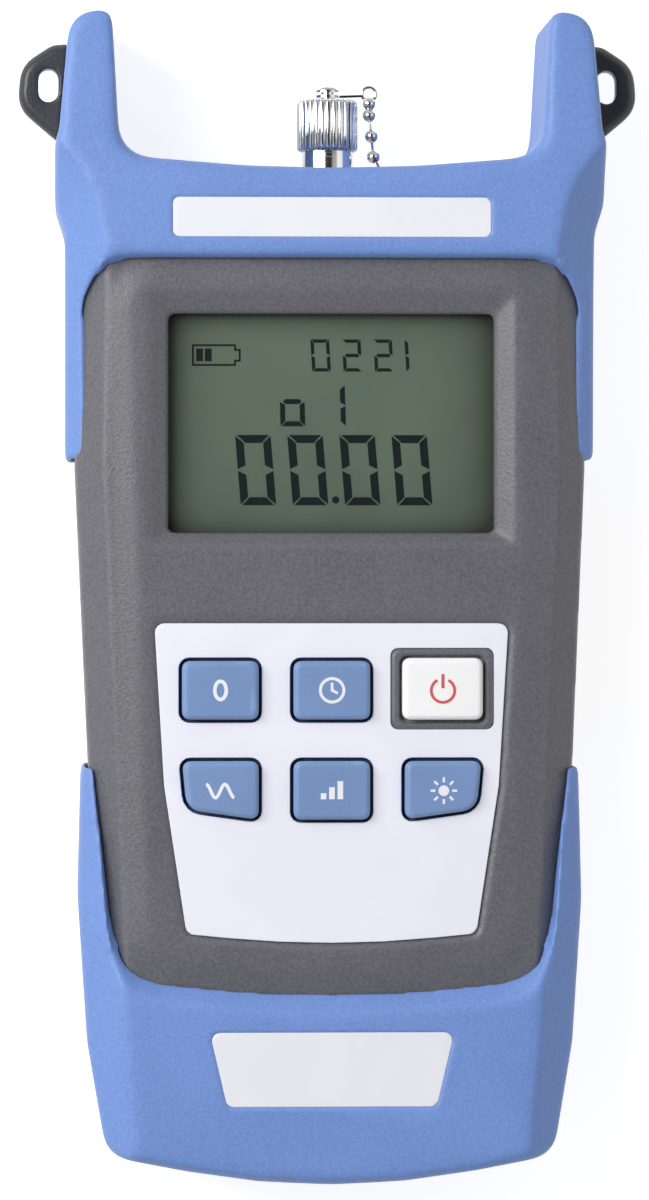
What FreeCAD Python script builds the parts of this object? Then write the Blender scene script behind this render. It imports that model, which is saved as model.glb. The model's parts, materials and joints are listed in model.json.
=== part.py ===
"""Handheld optical power meter: moulded case in two rubber boots, keypad, display, optical receptacle
with a screw-on dust cap on a bead chain, and a battery door on the back.

Millimetres. The meter lies on its back: +Z points out of the display face, +Y towards the receptacle,
and z = 0 is the surface under the boots. x = 0 is the middle of the case.
"""
import FreeCAD, Part
import math
import os

V = FreeCAD.Vector
X_AXIS = V(1, 0, 0)
Y_AXIS = V(0, 1, 0)
Z_AXIS = V(0, 0, 1)

# ---------------------------------------------------------------- driving dimensions
# Levels through the depth of the case
FRONT_Z = 31.0            # flat display face of the case
CREST_Z = 33.0            # front face of the boots
BACK_Z = 1.2              # back face of the case, the boots stand proud of it
SPLIT_Z = 15.0            # parting plane between the two shells
WALL = 2.0                # side walls of the shells
FRONT_WALL = 2.4          # front wall of the case
BACK_WALL = 1.8           # back wall of the case
BACK_EDGE = 1.6           # bevel round the back of the case
FLOOR_MARGIN = 0.3        # overrun of a cutter past the face it cuts
ROOT = 0.1                # how far a small piece runs into the one it is joined to
COLUMN_ROOT = 0.2         # how far a column runs into the wall it stands on
PILOT_SPARE = 0.5         # depth of a pilot hole past the screw's point
CUT_HALF = 60.0           # half-width of a block that takes in the whole meter
CUT_REACH = 100.0         # and its reach along Y, each way
LEAST_R = 0.15            # smallest radius a rounded corner keeps when its outline is moved in
POST_SIDES = 8            # sides of hidden posts, shanks and pilot holes
ROUND_SIDES = 16          # sides of small turned pieces and the holes they sit in
CORNER_FLATS = 4          # chords that stand for each rounded corner of an outline
ARC_ROOM = 0.995          # share of a side that its two corners may round off
FLATNESS = 1e-6           # twist below which a four-sided face counts as flat

# Case outline, right half: corner points and their radii
SHELL_TOP_Y = 61.5
SHELL_TOP_HALF = 37.6
SHELL_TOP_R = 6.5
SHELL_WAIST_Y = 19.5
SHELL_WAIST_HALF = 38.25
SHELL_HIP_Y = -24.8
SHELL_HIP_HALF = 36.4
SHELL_LOW_Y = -64.0
SHELL_LOW_HALF = 34.5
SHELL_FOOT_Y = -81.4
SHELL_FOOT_HALF = 31.3
SHELL_FOOT_R = 3.5
SHELL_END_Y = -87.0

# Flat of the display face, inside the shoulders
FLAT_TOP_Y = 48.1
FLAT_TOP_HALF = 29.9
FLAT_TOP_R = 5.0
FLAT_WAIST_HALF = 30.2
FLAT_HIP_HALF = 28.4
FLAT_LOW_Y = -54.0
FLAT_LOW_HALF = 27.2
FLAT_LOW_R = 7.0
FLAT_END_Y = -56.9
SHOULDER_RUN = 3.6        # width of the gentle facet round the flat
SHOULDER_DROP = 0.7
CROWN_ROOT = 0.02         # how far the crown sinks into the sides below it
CAVITY_FOOT = 0.6         # extra wall at the foot of the cavity
CAVITY_NECK = 3.2         # and under the flat of the display face
CAVITY_KNEE = 0.8         # how far the cavity's knee lies below the shoulder's
SIDE_SHOULDER_RUN = 4.3   # width of the steep facet down to the side wall
SIDE_SHOULDER_DROP = 4.1

# Opening in the front of the boots, where the case shows
FACE_TOP_Y = 49.9
FACE_TOP_HALF = 37.1
FACE_TOP_R = 7.0
FACE_HIP_HALF = 35.4
FACE_LOW_Y = -56.4
FACE_LOW_HALF = 32.2
FACE_LOW_R = 9.5
FACE_END_Y = -60.6
FACE_END_R = 200.0
RIM_LOW_Z = 27.5          # level at which the sloping rims of the openings start
TOP_RIM_IN = 1.0          # how far the rim of the top boot reaches in at that level
TOP_RIM_OUT = 1.3         # and out at the crest
LOW_RIM_IN = 3.6
LOW_RIM_OUT = 2.9
SIDE_RIM_OUT = 0.7

# Opening in the back of the boots
BACK_OPEN_TOP_Y = 44.0
BACK_OPEN_LOW_Y = -77.0
BACK_OPEN_HALF = 34.2
BACK_OPEN_LOW_HALF = 30.6
BACK_OPEN_R = 6.0

# Top boot
HORN_TIP_Y = 87.5
HORN_TIP_HALF = 38.95
HORN_TIP_R = 4.2
HORN_INNER_TIP_HALF = 32.7
HORN_INNER_TIP_R = 1.4
HORN_INNER_FOOT_HALF = 31.5
HORN_INNER_R = 4.8
HORN_FOOT_Y = 69.2
HORN_FOOT_HALF = 40.6
SADDLE_Y = 62.7
SADDLE_RISE = 3.3
SADDLE_R = 250.0
BUMPER_TOP_Y = 68.2
BUMPER_LOW_Y = 59.0
BUMPER_HALF = 41.2
BUMPER_RAMP = 4.5
WING_HALF = 39.7
WING_TIP_Y = 20.4
SLOPE_Y = 61.7            # crease where the front of the boot starts to fall towards the horns
HORN_FALL = 2.2           # depth lost between the crease and the horn tips
BEVEL_STATIONS = (          # (y, half-width of the crest) down the side facets
    (19.0, 32.0),
    (46.0, 32.9),
    (54.0, 33.9),
    (59.0, 35.0),
    (62.0, 36.2),
    (65.5, 38.3),
    (69.0, 41.2),
    (72.5, 45.0),
)

# Bottom boot
CUP_TOP_Y = -24.9
CUP_TOP_HALF = 37.3
CUP_MID_Y = -45.0
CUP_MID_HALF = 37.8
CUP_LOW_Y = -66.5
CUP_LOW_HALF = 36.4
CUP_FOOT_Y = -83.2
CUP_FOOT_HALF = 33.5
CUP_FOOT_R = 4.0
CUP_END_Y = -89.52
CUP_END_R = 115.0
CUP_BEVEL_STATIONS = ((-92.0, 28.5), (-66.0, 30.8), (-46.0, 31.9), (-24.0, 31.3))
BOOT_EDGE = 1.5           # width of the softened edge round the boots' front
BEVEL_SLOPE = 1.1         # fall of the boots' side facets
BEVEL_REACH = 46.0        # half-width that the side facets are cut out to
EDGE_SHARE = 0.8          # how far the softened edge steps in for its height
RIM_ROOT = 4.0            # depth of the opening's straight part below its rim

# Strap lugs
LUG_Y = 76.1
LUG_Z = 16.5
LUG_THICK = 4.0
LUG_ROOT_X = 38.0
LUG_OUTLINE = ((40.4, -7.7, 1.0), (46.9, -2.2, 4.5), (46.3, 4.2, 4.5), (41.6, 7.3, 3.0))
LUG_SLOT_X = 42.2
LUG_SLOT_WIDTH = 3.0
LUG_SLOT_LENGTH = 5.0
LUG_SLOT_Y = 77.2
LUG_TENON_DEPTH = 3.2
LUG_TENON_HALF = 5.0
LUG_TENON_THICK = 2.6
LUG_EDGE = 0.9
LUG_ROOT_R = 0.2

# Labels let into the boots
LABEL_THICK = 0.4
TOP_LABEL_Y = 56.55
TOP_LABEL_LENGTH = 47.3
TOP_LABEL_WIDTH = 5.9
TOP_LABEL_R = 0.9
LOW_LABEL_TOP_Y = -64.65
LOW_LABEL_END_Y = -75.7
LOW_LABEL_TOP_HALF = 18.2
LOW_LABEL_END_HALF = 15.6
LOW_LABEL_R = 1.2
LABEL_GAP = 0.12
LABEL_SINK = 0.1          # how far a label lies below the boot

# Display
SCREEN_HALF = 24.3
SCREEN_LOW_Y = 9.7
SCREEN_TOP_Y = 42.3
SCREEN_R = 0.8
BEZEL_SIDE = 3.0
BEZEL_LOW = 1.9
BEZEL_TOP = 3.4
BEZEL_DEPTH = 1.5
WINDOW_LAP = 1.6          # how far the window reaches behind the wall
WINDOW_THICK = 1.2
LCD_THICK = 2.3
LCD_LAP = 0.8
LCD_GAP = 0.2
BACKLIGHT_THICK = 2.2
FRAME_WALL = 1.2
ZEBRA_WIDTH = 1.6
LEDGE_WIDTH = 3.0

# Keypad panel
PANEL_TOP_Y = -3.84
PANEL_TOP_HALF = 26.4
PANEL_KNEE_Y = -28.0
PANEL_KNEE_HALF = 24.95
PANEL_LOW_Y = -50.1
PANEL_LOW_HALF = 21.6
PANEL_END_Y = -52.2
PANEL_END_R = 160.0
PANEL_R = 1.4
PANEL_DEPTH = 0.8
PANEL_GAP = 0.35
PANEL_THICK = 0.7

# Keys
KEY_PITCH_X = 16.6
KEY_ROW_HIGH = -13.8
KEY_ROW_LOW = -28.7
KEY_WIDTH = 11.4
KEY_HEIGHT = 8.7
KEY_R = 1.1
KEY_TOP_Z = 32.3
KEY_EDGE = 0.5
KEY_GAP = 0.35            # between a key and the front wall
KEY_WINDOW_GAP = 0.5      # between a key and the panel
KEY_FLANGE = 0.7
KEY_FLANGE_THICK = 1.1
KEY_STOP_GAP = 0.1        # between the flange and the wall it stops against
KEY_TRAVEL = 0.5
KEY_SLANT = 1.5           # rise of the slanted keys' lower edge
KEY_LEAN = 0.7            # how far their outer side leans in
KEY_SLANT_R = 2.6
KEY_STEM_R = 2.0
POWER_WIDTH = 12.0
POWER_HEIGHT = 9.2
POWER_X = 16.5
POWER_Y = -13.6
PLINTH_WIDTH = 15.2
PLINTH_HEIGHT = 11.9
PLINTH_R = 1.0
SWITCH_SIZE = 6.0
SWITCH_HEIGHT = 3.5
PLUNGER_SIZE = 3.3
PLUNGER_FIT = 0.08
PLUNGER_PROUD = 0.9
PLUNGER_DEPTH = 2.4
PLUNGER_SPARE = 0.1       # left under the plunger when its key is down

# Circuit board
BOARD_Z = 20.45
BOARD_THICK = 1.6
BOARD_TOP_Y = 53.0
BOARD_LOW_Y = -50.0
BOARD_HALF = 27.6
BOARD_LOW_HALF = 24.5
POST_TOP_X = 24.5
POST_TOP_Y = 50.2
POST_LOW_X = 21.5
POST_LOW_Y = -46.5
POST_R = 2.2
BOARD_SCREW_R = 1.0
BOARD_SCREW_LENGTH = 6.0
BOARD_SCREW_HEAD_R = 1.9
BOARD_SCREW_HEAD = 1.2
CHIP_SIZE = 10.0
CHIP_THICK = 1.2
CHIP_X = 3.0
CHIP_Y = -2.0
AMP_LENGTH = 5.0
AMP_WIDTH = 4.0
AMP_X = -8.0
AMP_Y = 46.0

# Case screws
SCREW_FRAME_GAP = 1.4     # between a screw's boss and the display's frame
SCREW_TOP_Y = 34.0
SCREW_LOW_X = 28.2
SCREW_LOW_Y = -58.0
SCREW_R = 1.3
SCREW_LENGTH = 16.0
SCREW_HEAD_R = 2.4
SCREW_HEAD = 1.8
SCREW_SEAT_Z = 4.6
BOSS_R = 3.1
HOLE_FIT = 0.15
SCREW_TOP_X = SCREEN_HALF + LCD_LAP + LCD_GAP + FRAME_WALL + SCREW_FRAME_GAP + BOSS_R

# Optical receptacle
CONN_Z = 16.5
FLANGE_SIZE = 13.6
FLANGE_THICK = 2.0
FLANGE_R = 1.2
FLANGE_SCREW_PITCH = 9.8
BARREL_R = 4.0
BARREL_LENGTH = 8.0
BARREL_BORE_R = 3.2
BARREL_BORE_DEPTH = 6.2
KEYWAY_WIDTH = 2.1
KEYWAY_DEPTH = 3.2
TAIL_R = 3.6
TAIL_LENGTH = 4.5
CORE_R = 2.3
CORE_SINK = 0.5           # how far the inner core ends short of the barrel's rim
KEYWAY_FLOOR = 0.4        # from the core to the keyway's floor
SLEEVE_R = 1.6
SLEEVE_BORE_R = 1.25
SLEEVE_LENGTH = 7.6
CAN_R = 2.7
CAN_LENGTH = 3.6
CAN_RIM_R = 3.0
CAN_RIM = 0.6
LEAD_HALF = 0.22
LEAD_SPREAD = 1.27
LEAD_RUN = 3.0
POCKET_LEFT = 8.2
POCKET_RIGHT = 11.4
POCKET_LOW_Z = 6.5
POCKET_TOP_Z = 26.3
SMALL_SCREW_R = 0.9
SMALL_SCREW_HEAD_R = 1.6
SMALL_SCREW_HEAD = 1.1
SMALL_SCREW_LENGTH = 4.6

# Dust cap and chain
CAP_LOW_Y = 67.4
CAP_TOP_Y = 75.2
CAP_R = 4.6
CAP_FLUTES = 20
CAP_FLUTE_DEPTH = 0.3
FLUTE = ((0.0, 0), (0.5, 0), (0.75, 1))   # (share of a flute's turn, share of its depth)
CAP_CHAMFER = 0.4
CAP_FIT = 0.06
CAP_ROOF = 2.6
RIVET_NECK_R = 1.05
RIVET_HEAD_R = 1.9
RIVET_NECK = 1.2
RIVET_HEAD = 1.2
RIVET_RIM = 0.25          # thickness of the head's edge
RIVET_STEPS = (0.0, 0.3, 0.6, 0.85)   # places of the dome's rings between its edge and its top
RIVET_ROOT = 1.4
EYELET_R = 1.9
EYELET_THICK = 0.4
EYELET_FIT = 0.07
EYELET_SEAT = 0.35
EYELET_ARM_HALF = 0.5
EYELET_ARM_ROOT = 0.4     # how far the arm runs into the ring round the rivet
RING_X = 6.3
RING_Y = 76.2
RING_R = 1.05
RING_WIRE_R = 0.28
BEAD_R = 1.05
BEAD_SIDES = 8
BEAD_LATITUDES = (-66, -22, 22, 66)
LINK_R = 0.35
CHAIN_GAP = 0.3           # between the ring and the first link
BEADS = (
    (6.3, 73.0, 16.5),
    (6.65, 69.85, 16.4),
    (6.96, 66.8, 16.0),
    (8.3, 64.6, 14.2),
    (9.6, 64.3, 11.4),
    (8.2, 63.9, 8.7),
)
ANCHOR_THICK = 0.5
ANCHOR_R = 1.9
ANCHOR_REACH = 3.0
ANCHOR_WIDTH = 1.6
ANCHOR_TURN = 45          # degrees that its arm points down to the side

# Battery compartment
CELL_R = 7.15
CELL_LENGTH = 49.3
CELL_SIDES = 24
CELL_NUB_R = 2.7
CELL_NUB = 1.2
CELL_PITCH = 14.7
CELL_Z = 10.4
CELL_LOW_Y = -61.0
BAY_GAP = 0.4
BAY_HEADROOM = 0.3
BAY_WALL = 1.3
BAY_END = 3.2             # room for the contacts at each end
CONTACT_THICK = 0.5
CONTACT_WIDTH = 9.0
CONTACT_HEIGHT = 9.0
CONTACT_FOOT = 2.4        # half-width of the sprung fold at the wall
CONTACT_TIP = 1.1         # and at the cell
CONTACT_BEND = 0.35       # what the fold's inner side loses to the strip's slant
DOOR_THICK = 1.8
DOOR_GAP = 0.25
DOOR_LAP = 0.8            # visible plate past the bay, each side
DOOR_TONGUE = 1.2         # width of the tongues that run in the grooves
DOOR_TONGUE_THICK = 0.8
DOOR_TRAVEL = 8.0
DOOR_R = 0
DOOR_RIM = 1.2            # wall round and above the door's seat
DOOR_RIM_SINK = 0.5       # depth at which that wall starts behind the back face
DOOR_RIBS = 5
DOOR_RIB_INSET = 4.0      # from the bay's lower end to the first rib
DOOR_RIB_PITCH = 2.2
DOOR_RIB_HALF = 8.0
DOOR_RIB_DEPTH = 0.5


# ---------------------------------------------------------------- shared helpers
def mirrored(right):
    """A closed outline from its right half, which runs from the bottom end up to the top end."""
    left = [(-x, y, r) for x, y, r in reversed(right) if abs(x) > 1e-9]
    return list(right) + left


def outline_steps(points):
    """Unit direction and length of the side that arrives at each corner."""
    steps = []
    for i in range(len(points)):
        dx = points[i][0] - points[i - 1][0]
        dy = points[i][1] - points[i - 1][1]
        length = math.hypot(dx, dy)
        steps.append((dx / length, dy / length, length))
    return steps


def tangent_lengths(points, steps):
    """How far each corner's arc reaches along its two sides, shortened where the sides are short."""
    count = len(points)
    reach = []
    for i in range(count):
        ax, ay, before = steps[i]
        bx, by, after = steps[(i + 1) % count]
        half_turn = math.acos(max(-1, min(1, ax * bx + ay * by))) / 2
        reach.append(points[i][2] * math.tan(half_turn))
    for i in range(count):
        j = (i + 1) % count
        room = steps[j][2] * ARC_ROOM
        if reach[i] + reach[j] > room:
            share = room / (reach[i] + reach[j])
            reach[i] *= share
            reach[j] *= share
    return reach


def corner_places(point, before, after, reach, z):
    """Places along the arc that rounds a corner, evenly spaced from tangent to tangent."""
    x, y, r = point
    if reach <= 0:
        return [V(x, y, z)]
    half_turn = math.acos(max(-1, min(1, before[0] * after[0] + before[1] * after[1]))) / 2
    start = V(x - before[0] * reach, y - before[1] * reach, z)
    end = V(x + after[0] * reach, y + after[1] * reach, z)
    inward = V(after[0] - before[0], after[1] - before[1], 0).normalize()
    radius = reach / math.tan(half_turn)
    middle = V(x, y, z) + inward * (radius / math.cos(half_turn) - radius)
    return Part.Arc(start, middle, end).toShape().discretize(CORNER_FLATS + 1)


def outline_places(points, z):
    """Places at height z round the corners (x, y, r); chords along each corner's arc keep it light."""
    steps = outline_steps(points)
    reach = tangent_lengths(points, steps)
    places = []
    for i in range(len(points)):
        following = steps[(i + 1) % len(points)]
        places += corner_places(points[i], steps[i], following, reach[i], z)
    return places


def flat_face(places):
    return Part.Face(Part.makePolygon(list(places) + [places[0]]))


def stacked(rings):
    """A solid through a stack of rings; a side that would twist is split into two flat triangles."""
    faces = [flat_face(rings[0]), flat_face(rings[-1])]
    count = len(rings[0])
    for low, high in zip(rings, rings[1:]):
        for i in range(count):
            j = (i + 1) % count
            normal = (low[j] - low[i]).cross(high[i] - low[i]).normalize()
            twist = abs(normal.dot(high[j] - low[i]))
            if twist < FLATNESS:
                faces.append(flat_face([low[i], low[j], high[j], high[i]]))
            else:
                faces.append(flat_face([low[i], low[j], high[j]]))
                faces.append(flat_face([low[i], high[j], high[i]]))
    shell = Part.makeShell(faces)
    shell.sewShape()
    solid = Part.makeSolid(shell)
    if solid.Volume < 0:
        solid.reverse()
    return solid


def inset(points, distance):
    """The outline moved inwards by distance, corner radii with it; a negative distance grows it."""
    count = len(points)
    moved = []
    for i in range(count):
        x, y, r = points[i]
        px, py, pr = points[i - 1]
        nx, ny, nr = points[(i + 1) % count]
        ax, ay = x - px, y - py
        bx, by = nx - x, ny - y
        la, lb = math.hypot(ax, ay), math.hypot(bx, by)
        ax, ay, bx, by = ax / la, ay / la, bx / lb, by / lb
        turn = ax * by - ay * bx
        bisector = 1 + ax * bx + ay * by
        shift_x = (-ay - by) / bisector
        shift_y = (ax + bx) / bisector
        radius = r - distance if turn > 0 else r + distance
        if r > 0:
            radius = max(radius, LEAST_R)
        else:
            radius = 0
        moved.append((x + shift_x * distance, y + shift_y * distance, radius))
    return moved


def prism(points, low, high):
    """The outline extruded from low to high along Z."""
    return flat_face(outline_places(points, low)).extrude(V(0, 0, high - low))


def layered(levels):
    """A solid through a stack of (outline, z) sections that have the same corners."""
    return stacked([outline_places(points, z) for points, z in levels])


def rectangle(half_x, low_y, high_y, radius, centre_x=0.0):
    """A rectangle's outline with rounded corners."""
    return [
        (centre_x + half_x, low_y, radius),
        (centre_x + half_x, high_y, radius),
        (centre_x - half_x, high_y, radius),
        (centre_x - half_x, low_y, radius),
    ]


def box(x0, x1, y0, y1, z0, z1):
    return Part.makeBox(x1 - x0, y1 - y0, z1 - z0, V(x0, y0, z0))


def post(x, y, z0, z1, radius, sides=POST_SIDES):
    """A flat-sided post along Z; its corners lie on the radius."""
    points = []
    for i in range(sides):
        angle = 2 * math.pi * (i + 0.5) / sides
        points.append((x + radius * math.cos(angle), y + radius * math.sin(angle), 0))
    return prism(points, z0, z1)


def post_y(x, z, y0, y1, radius, sides=POST_SIDES):
    """The same post along Y."""
    shape = post(0, 0, 0, y1 - y0, radius, sides)
    shape.rotate(V(0, 0, 0), X_AXIS, -90)
    shape.translate(V(x, y0, z))
    return shape


def squared(points):
    """The outline with every corner plain."""
    return [(x, y, 0) for x, y, r in points]


def rod_y(x, z, y0, y1, radius):
    return Part.makeCylinder(radius, y1 - y0, V(x, y0, z), Y_AXIS)


def fuse(shapes):
    result = shapes[0]
    for shape in shapes[1:]:
        result = result.fuse(shape)
    return result.removeSplitter()


def cut(shape, tools):
    for tool in tools:
        shape = shape.cut(tool)
    return shape


def mirror_x(shape):
    return shape.mirror(V(0, 0, 0), X_AXIS)


def both_sides(shape):
    return [shape, mirror_x(shape)]


# ---------------------------------------------------------------- outlines
def shell_outline():
    return mirrored([
        (0, SHELL_END_Y, 0),
        (SHELL_FOOT_HALF, SHELL_FOOT_Y, SHELL_FOOT_R),
        (SHELL_LOW_HALF, SHELL_LOW_Y, 0),
        (SHELL_HIP_HALF, SHELL_HIP_Y, 0),
        (SHELL_WAIST_HALF, SHELL_WAIST_Y, 0),
        (SHELL_TOP_HALF, SHELL_TOP_Y, SHELL_TOP_R),
    ])


def flat_outline():
    return mirrored([
        (0, FLAT_END_Y, FACE_END_R),
        (FLAT_LOW_HALF, FLAT_LOW_Y, FLAT_LOW_R),
        (FLAT_HIP_HALF, SHELL_HIP_Y, 0),
        (FLAT_WAIST_HALF, SHELL_WAIST_Y, 0),
        (FLAT_TOP_HALF, FLAT_TOP_Y, FLAT_TOP_R),
    ])


def face_outline(side, top, low):
    """The opening of the boots, grown by side at the sides, by top and by low at its two ends."""
    return mirrored([
        (0, FACE_END_Y - low, FACE_END_R),
        (FACE_LOW_HALF + side, FACE_LOW_Y - low, FACE_LOW_R),
        (FACE_HIP_HALF + side, SHELL_HIP_Y, 0),
        (FACE_TOP_HALF + side, SHELL_WAIST_Y, 0),
        (FACE_TOP_HALF + side, FACE_TOP_Y + top, FACE_TOP_R),
    ])


def back_outline():
    return mirrored([
        (BACK_OPEN_LOW_HALF, BACK_OPEN_LOW_Y, BACK_OPEN_R),
        (BACK_OPEN_HALF, SHELL_HIP_Y, 0),
        (BACK_OPEN_HALF, BACK_OPEN_TOP_Y, BACK_OPEN_R),
    ])


def top_boot_outline():
    return mirrored([
        (WING_HALF, WING_TIP_Y, 0),
        (WING_HALF, BUMPER_LOW_Y - BUMPER_RAMP, 0),
        (BUMPER_HALF, BUMPER_LOW_Y, 0),
        (BUMPER_HALF, BUMPER_TOP_Y, 0),
        (HORN_FOOT_HALF, HORN_FOOT_Y, 0),
        (HORN_TIP_HALF, HORN_TIP_Y, HORN_TIP_R),
        (HORN_INNER_TIP_HALF, HORN_TIP_Y, HORN_INNER_TIP_R),
        (HORN_INNER_FOOT_HALF, SADDLE_Y + SADDLE_RISE, HORN_INNER_R),
        (0, SADDLE_Y, SADDLE_R),
    ])


def bottom_boot_outline():
    return mirrored([
        (0, CUP_END_Y, CUP_END_R),
        (CUP_FOOT_HALF, CUP_FOOT_Y, CUP_FOOT_R),
        (CUP_LOW_HALF, CUP_LOW_Y, 0),
        (CUP_MID_HALF, CUP_MID_Y, 0),
        (CUP_TOP_HALF, CUP_TOP_Y, 0),
    ])


def panel_outline():
    return mirrored([
        (0, PANEL_END_Y, PANEL_END_R),
        (PANEL_LOW_HALF, PANEL_LOW_Y, PANEL_R),
        (PANEL_KNEE_HALF, PANEL_KNEE_Y, 0),
        (PANEL_TOP_HALF, PANEL_TOP_Y, PANEL_R),
    ])


def top_label_outline():
    half = TOP_LABEL_WIDTH / 2
    return rectangle(TOP_LABEL_LENGTH / 2, TOP_LABEL_Y - half, TOP_LABEL_Y + half, TOP_LABEL_R)


def bottom_label_outline():
    return mirrored([
        (LOW_LABEL_END_HALF, LOW_LABEL_END_Y, LOW_LABEL_R),
        (LOW_LABEL_TOP_HALF, LOW_LABEL_TOP_Y, LOW_LABEL_R),
    ])


# ---------------------------------------------------------------- case
def case_block():
    """The outer form of both shells together."""
    outline = shell_outline()
    flat = flat_outline()
    shoulder_z = FRONT_Z - SHOULDER_DROP
    side = layered([
        (inset(outline, BACK_EDGE), BACK_Z),
        (outline, BACK_Z + BACK_EDGE),
        (outline, shoulder_z - SIDE_SHOULDER_DROP),
        (inset(outline, SIDE_SHOULDER_RUN), shoulder_z),
    ])
    crown = layered([
        (inset(flat, -SHOULDER_RUN), shoulder_z - CROWN_ROOT),
        (flat, FRONT_Z),
    ])
    return side.fuse(crown)


def case_cavity():
    """The space inside both shells."""
    outline = shell_outline()
    shoulder_z = FRONT_Z - SHOULDER_DROP
    return layered([
        (inset(outline, WALL + CAVITY_FOOT), BACK_Z + BACK_WALL),
        (inset(outline, WALL), shoulder_z - SIDE_SHOULDER_DROP - CAVITY_KNEE),
        (inset(outline, WALL + CAVITY_NECK), FRONT_Z - FRONT_WALL),
    ])


KEYS = {
    "power": (POWER_X, POWER_Y),
    "timer": (0.0, KEY_ROW_HIGH),
    "zero": (-KEY_PITCH_X, KEY_ROW_HIGH),
    "light": (KEY_PITCH_X, KEY_ROW_LOW),
    "unit": (0.0, KEY_ROW_LOW),
    "wave": (-KEY_PITCH_X, KEY_ROW_LOW),
}


def key_outline(name):
    x, y = KEYS[name]
    if name == "power":
        half = POWER_HEIGHT / 2
        return rectangle(POWER_WIDTH / 2, y - half, y + half, KEY_R, x)
    half_x, half_y = KEY_WIDTH / 2, KEY_HEIGHT / 2
    outline = rectangle(half_x, y - half_y, y + half_y, KEY_R, x)
    if name == "light":
        outline[0] = (x + half_x - KEY_LEAN, y - half_y + KEY_SLANT, KEY_SLANT_R)
    if name == "wave":
        outline[3] = (x - half_x + KEY_LEAN, y - half_y + KEY_SLANT, KEY_SLANT_R)
    return outline


def plinth_outline():
    half = PLINTH_HEIGHT / 2
    return rectangle(PLINTH_WIDTH / 2, POWER_Y - half, POWER_Y + half, PLINTH_R, POWER_X)


def key_holes(low, high, gap):
    return [prism(inset(squared(key_outline(name)), -gap), low, high) for name in KEYS]


BOARD_POSTS = (
    (POST_TOP_X, POST_TOP_Y),
    (-POST_TOP_X, POST_TOP_Y),
    (POST_LOW_X, POST_LOW_Y),
    (-POST_LOW_X, POST_LOW_Y),
)
CASE_SCREWS = (
    (SCREW_TOP_X, SCREW_TOP_Y),
    (-SCREW_TOP_X, SCREW_TOP_Y),
    (SCREW_LOW_X, SCREW_LOW_Y),
    (-SCREW_LOW_X, SCREW_LOW_Y),
)
BOARD_TOP_Z = BOARD_Z + BOARD_THICK
INNER_FRONT_Z = FRONT_Z - FRONT_WALL
END_WALL_Y = SHELL_TOP_Y - WALL


def receptacle_hole():
    low, high = END_WALL_Y - 1, SHELL_TOP_Y + FLOOR_MARGIN
    return post_y(0, CONN_Z, low, high, TAIL_R + HOLE_FIT, ROUND_SIDES)


def front_shell():
    block = case_block().cut(case_cavity())
    block = block.common(box(-CUT_HALF, CUT_HALF, -CUT_REACH, CUT_REACH, SPLIT_Z, FRONT_Z + 1))
    columns = []
    for x, y in CASE_SCREWS:
        columns.append(post(x, y, SPLIT_Z, INNER_FRONT_Z + COLUMN_ROOT, BOSS_R))
    for x, y in BOARD_POSTS:
        columns.append(post(x, y, BOARD_TOP_Z, INNER_FRONT_Z + COLUMN_ROOT, POST_R))
    block = fuse([block] + columns)
    screw_end = SCREW_SEAT_Z + SCREW_LENGTH + PILOT_SPARE
    board_screw_end = BOARD_Z + BOARD_SCREW_LENGTH + PILOT_SPARE
    tools = []
    for x, y in CASE_SCREWS:
        tools.append(post(x, y, SPLIT_Z - FLOOR_MARGIN, screw_end, SCREW_R))
    for x, y in BOARD_POSTS:
        tools.append(post(x, y, BOARD_TOP_Z - FLOOR_MARGIN, board_screw_end, BOARD_SCREW_R))
    screen = rectangle(SCREEN_HALF, SCREEN_LOW_Y, SCREEN_TOP_Y, SCREEN_R)
    bezel = rectangle(
        SCREEN_HALF + BEZEL_SIDE,
        SCREEN_LOW_Y - BEZEL_LOW,
        SCREEN_TOP_Y + BEZEL_TOP,
        SCREEN_R,
    )
    tools.append(prism(screen, INNER_FRONT_Z - FLOOR_MARGIN, FRONT_Z))
    tools.append(layered([(screen, FRONT_Z - BEZEL_DEPTH), (bezel, FRONT_Z), (bezel, FRONT_Z + 1)]))
    recess = prism(inset(panel_outline(), -PANEL_GAP), FRONT_Z - PANEL_DEPTH, FRONT_Z + 1)
    tools.append(recess.cut(prism(plinth_outline(), FRONT_Z - 2, FRONT_Z + 2)))
    tools += key_holes(INNER_FRONT_Z - FLOOR_MARGIN, FRONT_Z + 1, KEY_GAP)
    tools.append(receptacle_hole())
    tools += flange_screw_holes()
    return cut(block, tools)


# ---------------------------------------------------------------- battery bay and door
CELL_TOP_Y = CELL_LOW_Y + CELL_LENGTH + CELL_NUB
BAY_LOW_Y = CELL_LOW_Y - BAY_END
BAY_TOP_Y = CELL_TOP_Y + BAY_END
BAY_HALF = CELL_PITCH + CELL_R + BAY_GAP
BAY_TOP_Z = CELL_Z + CELL_R + BAY_HEADROOM
CELLS = {"left": -CELL_PITCH, "middle": 0.0, "right": CELL_PITCH}


def door_seat(grow):
    """Outline of the battery door's visible plate, grown all round."""
    half = BAY_HALF + DOOR_LAP
    return rectangle(half + grow, BAY_LOW_Y - DOOR_LAP - grow, BAY_TOP_Y + DOOR_LAP + grow, DOOR_R)


def lengthened(outline, travel):
    """The outline with its lower end moved down by travel."""
    low = min(y for x, y, r in outline)
    return [(x, y - travel if y == low else y, r) for x, y, r in outline]


DOOR_INNER_Z = BACK_Z + DOOR_THICK
TONGUE_Z = DOOR_INNER_Z - DOOR_TONGUE_THICK


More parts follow.
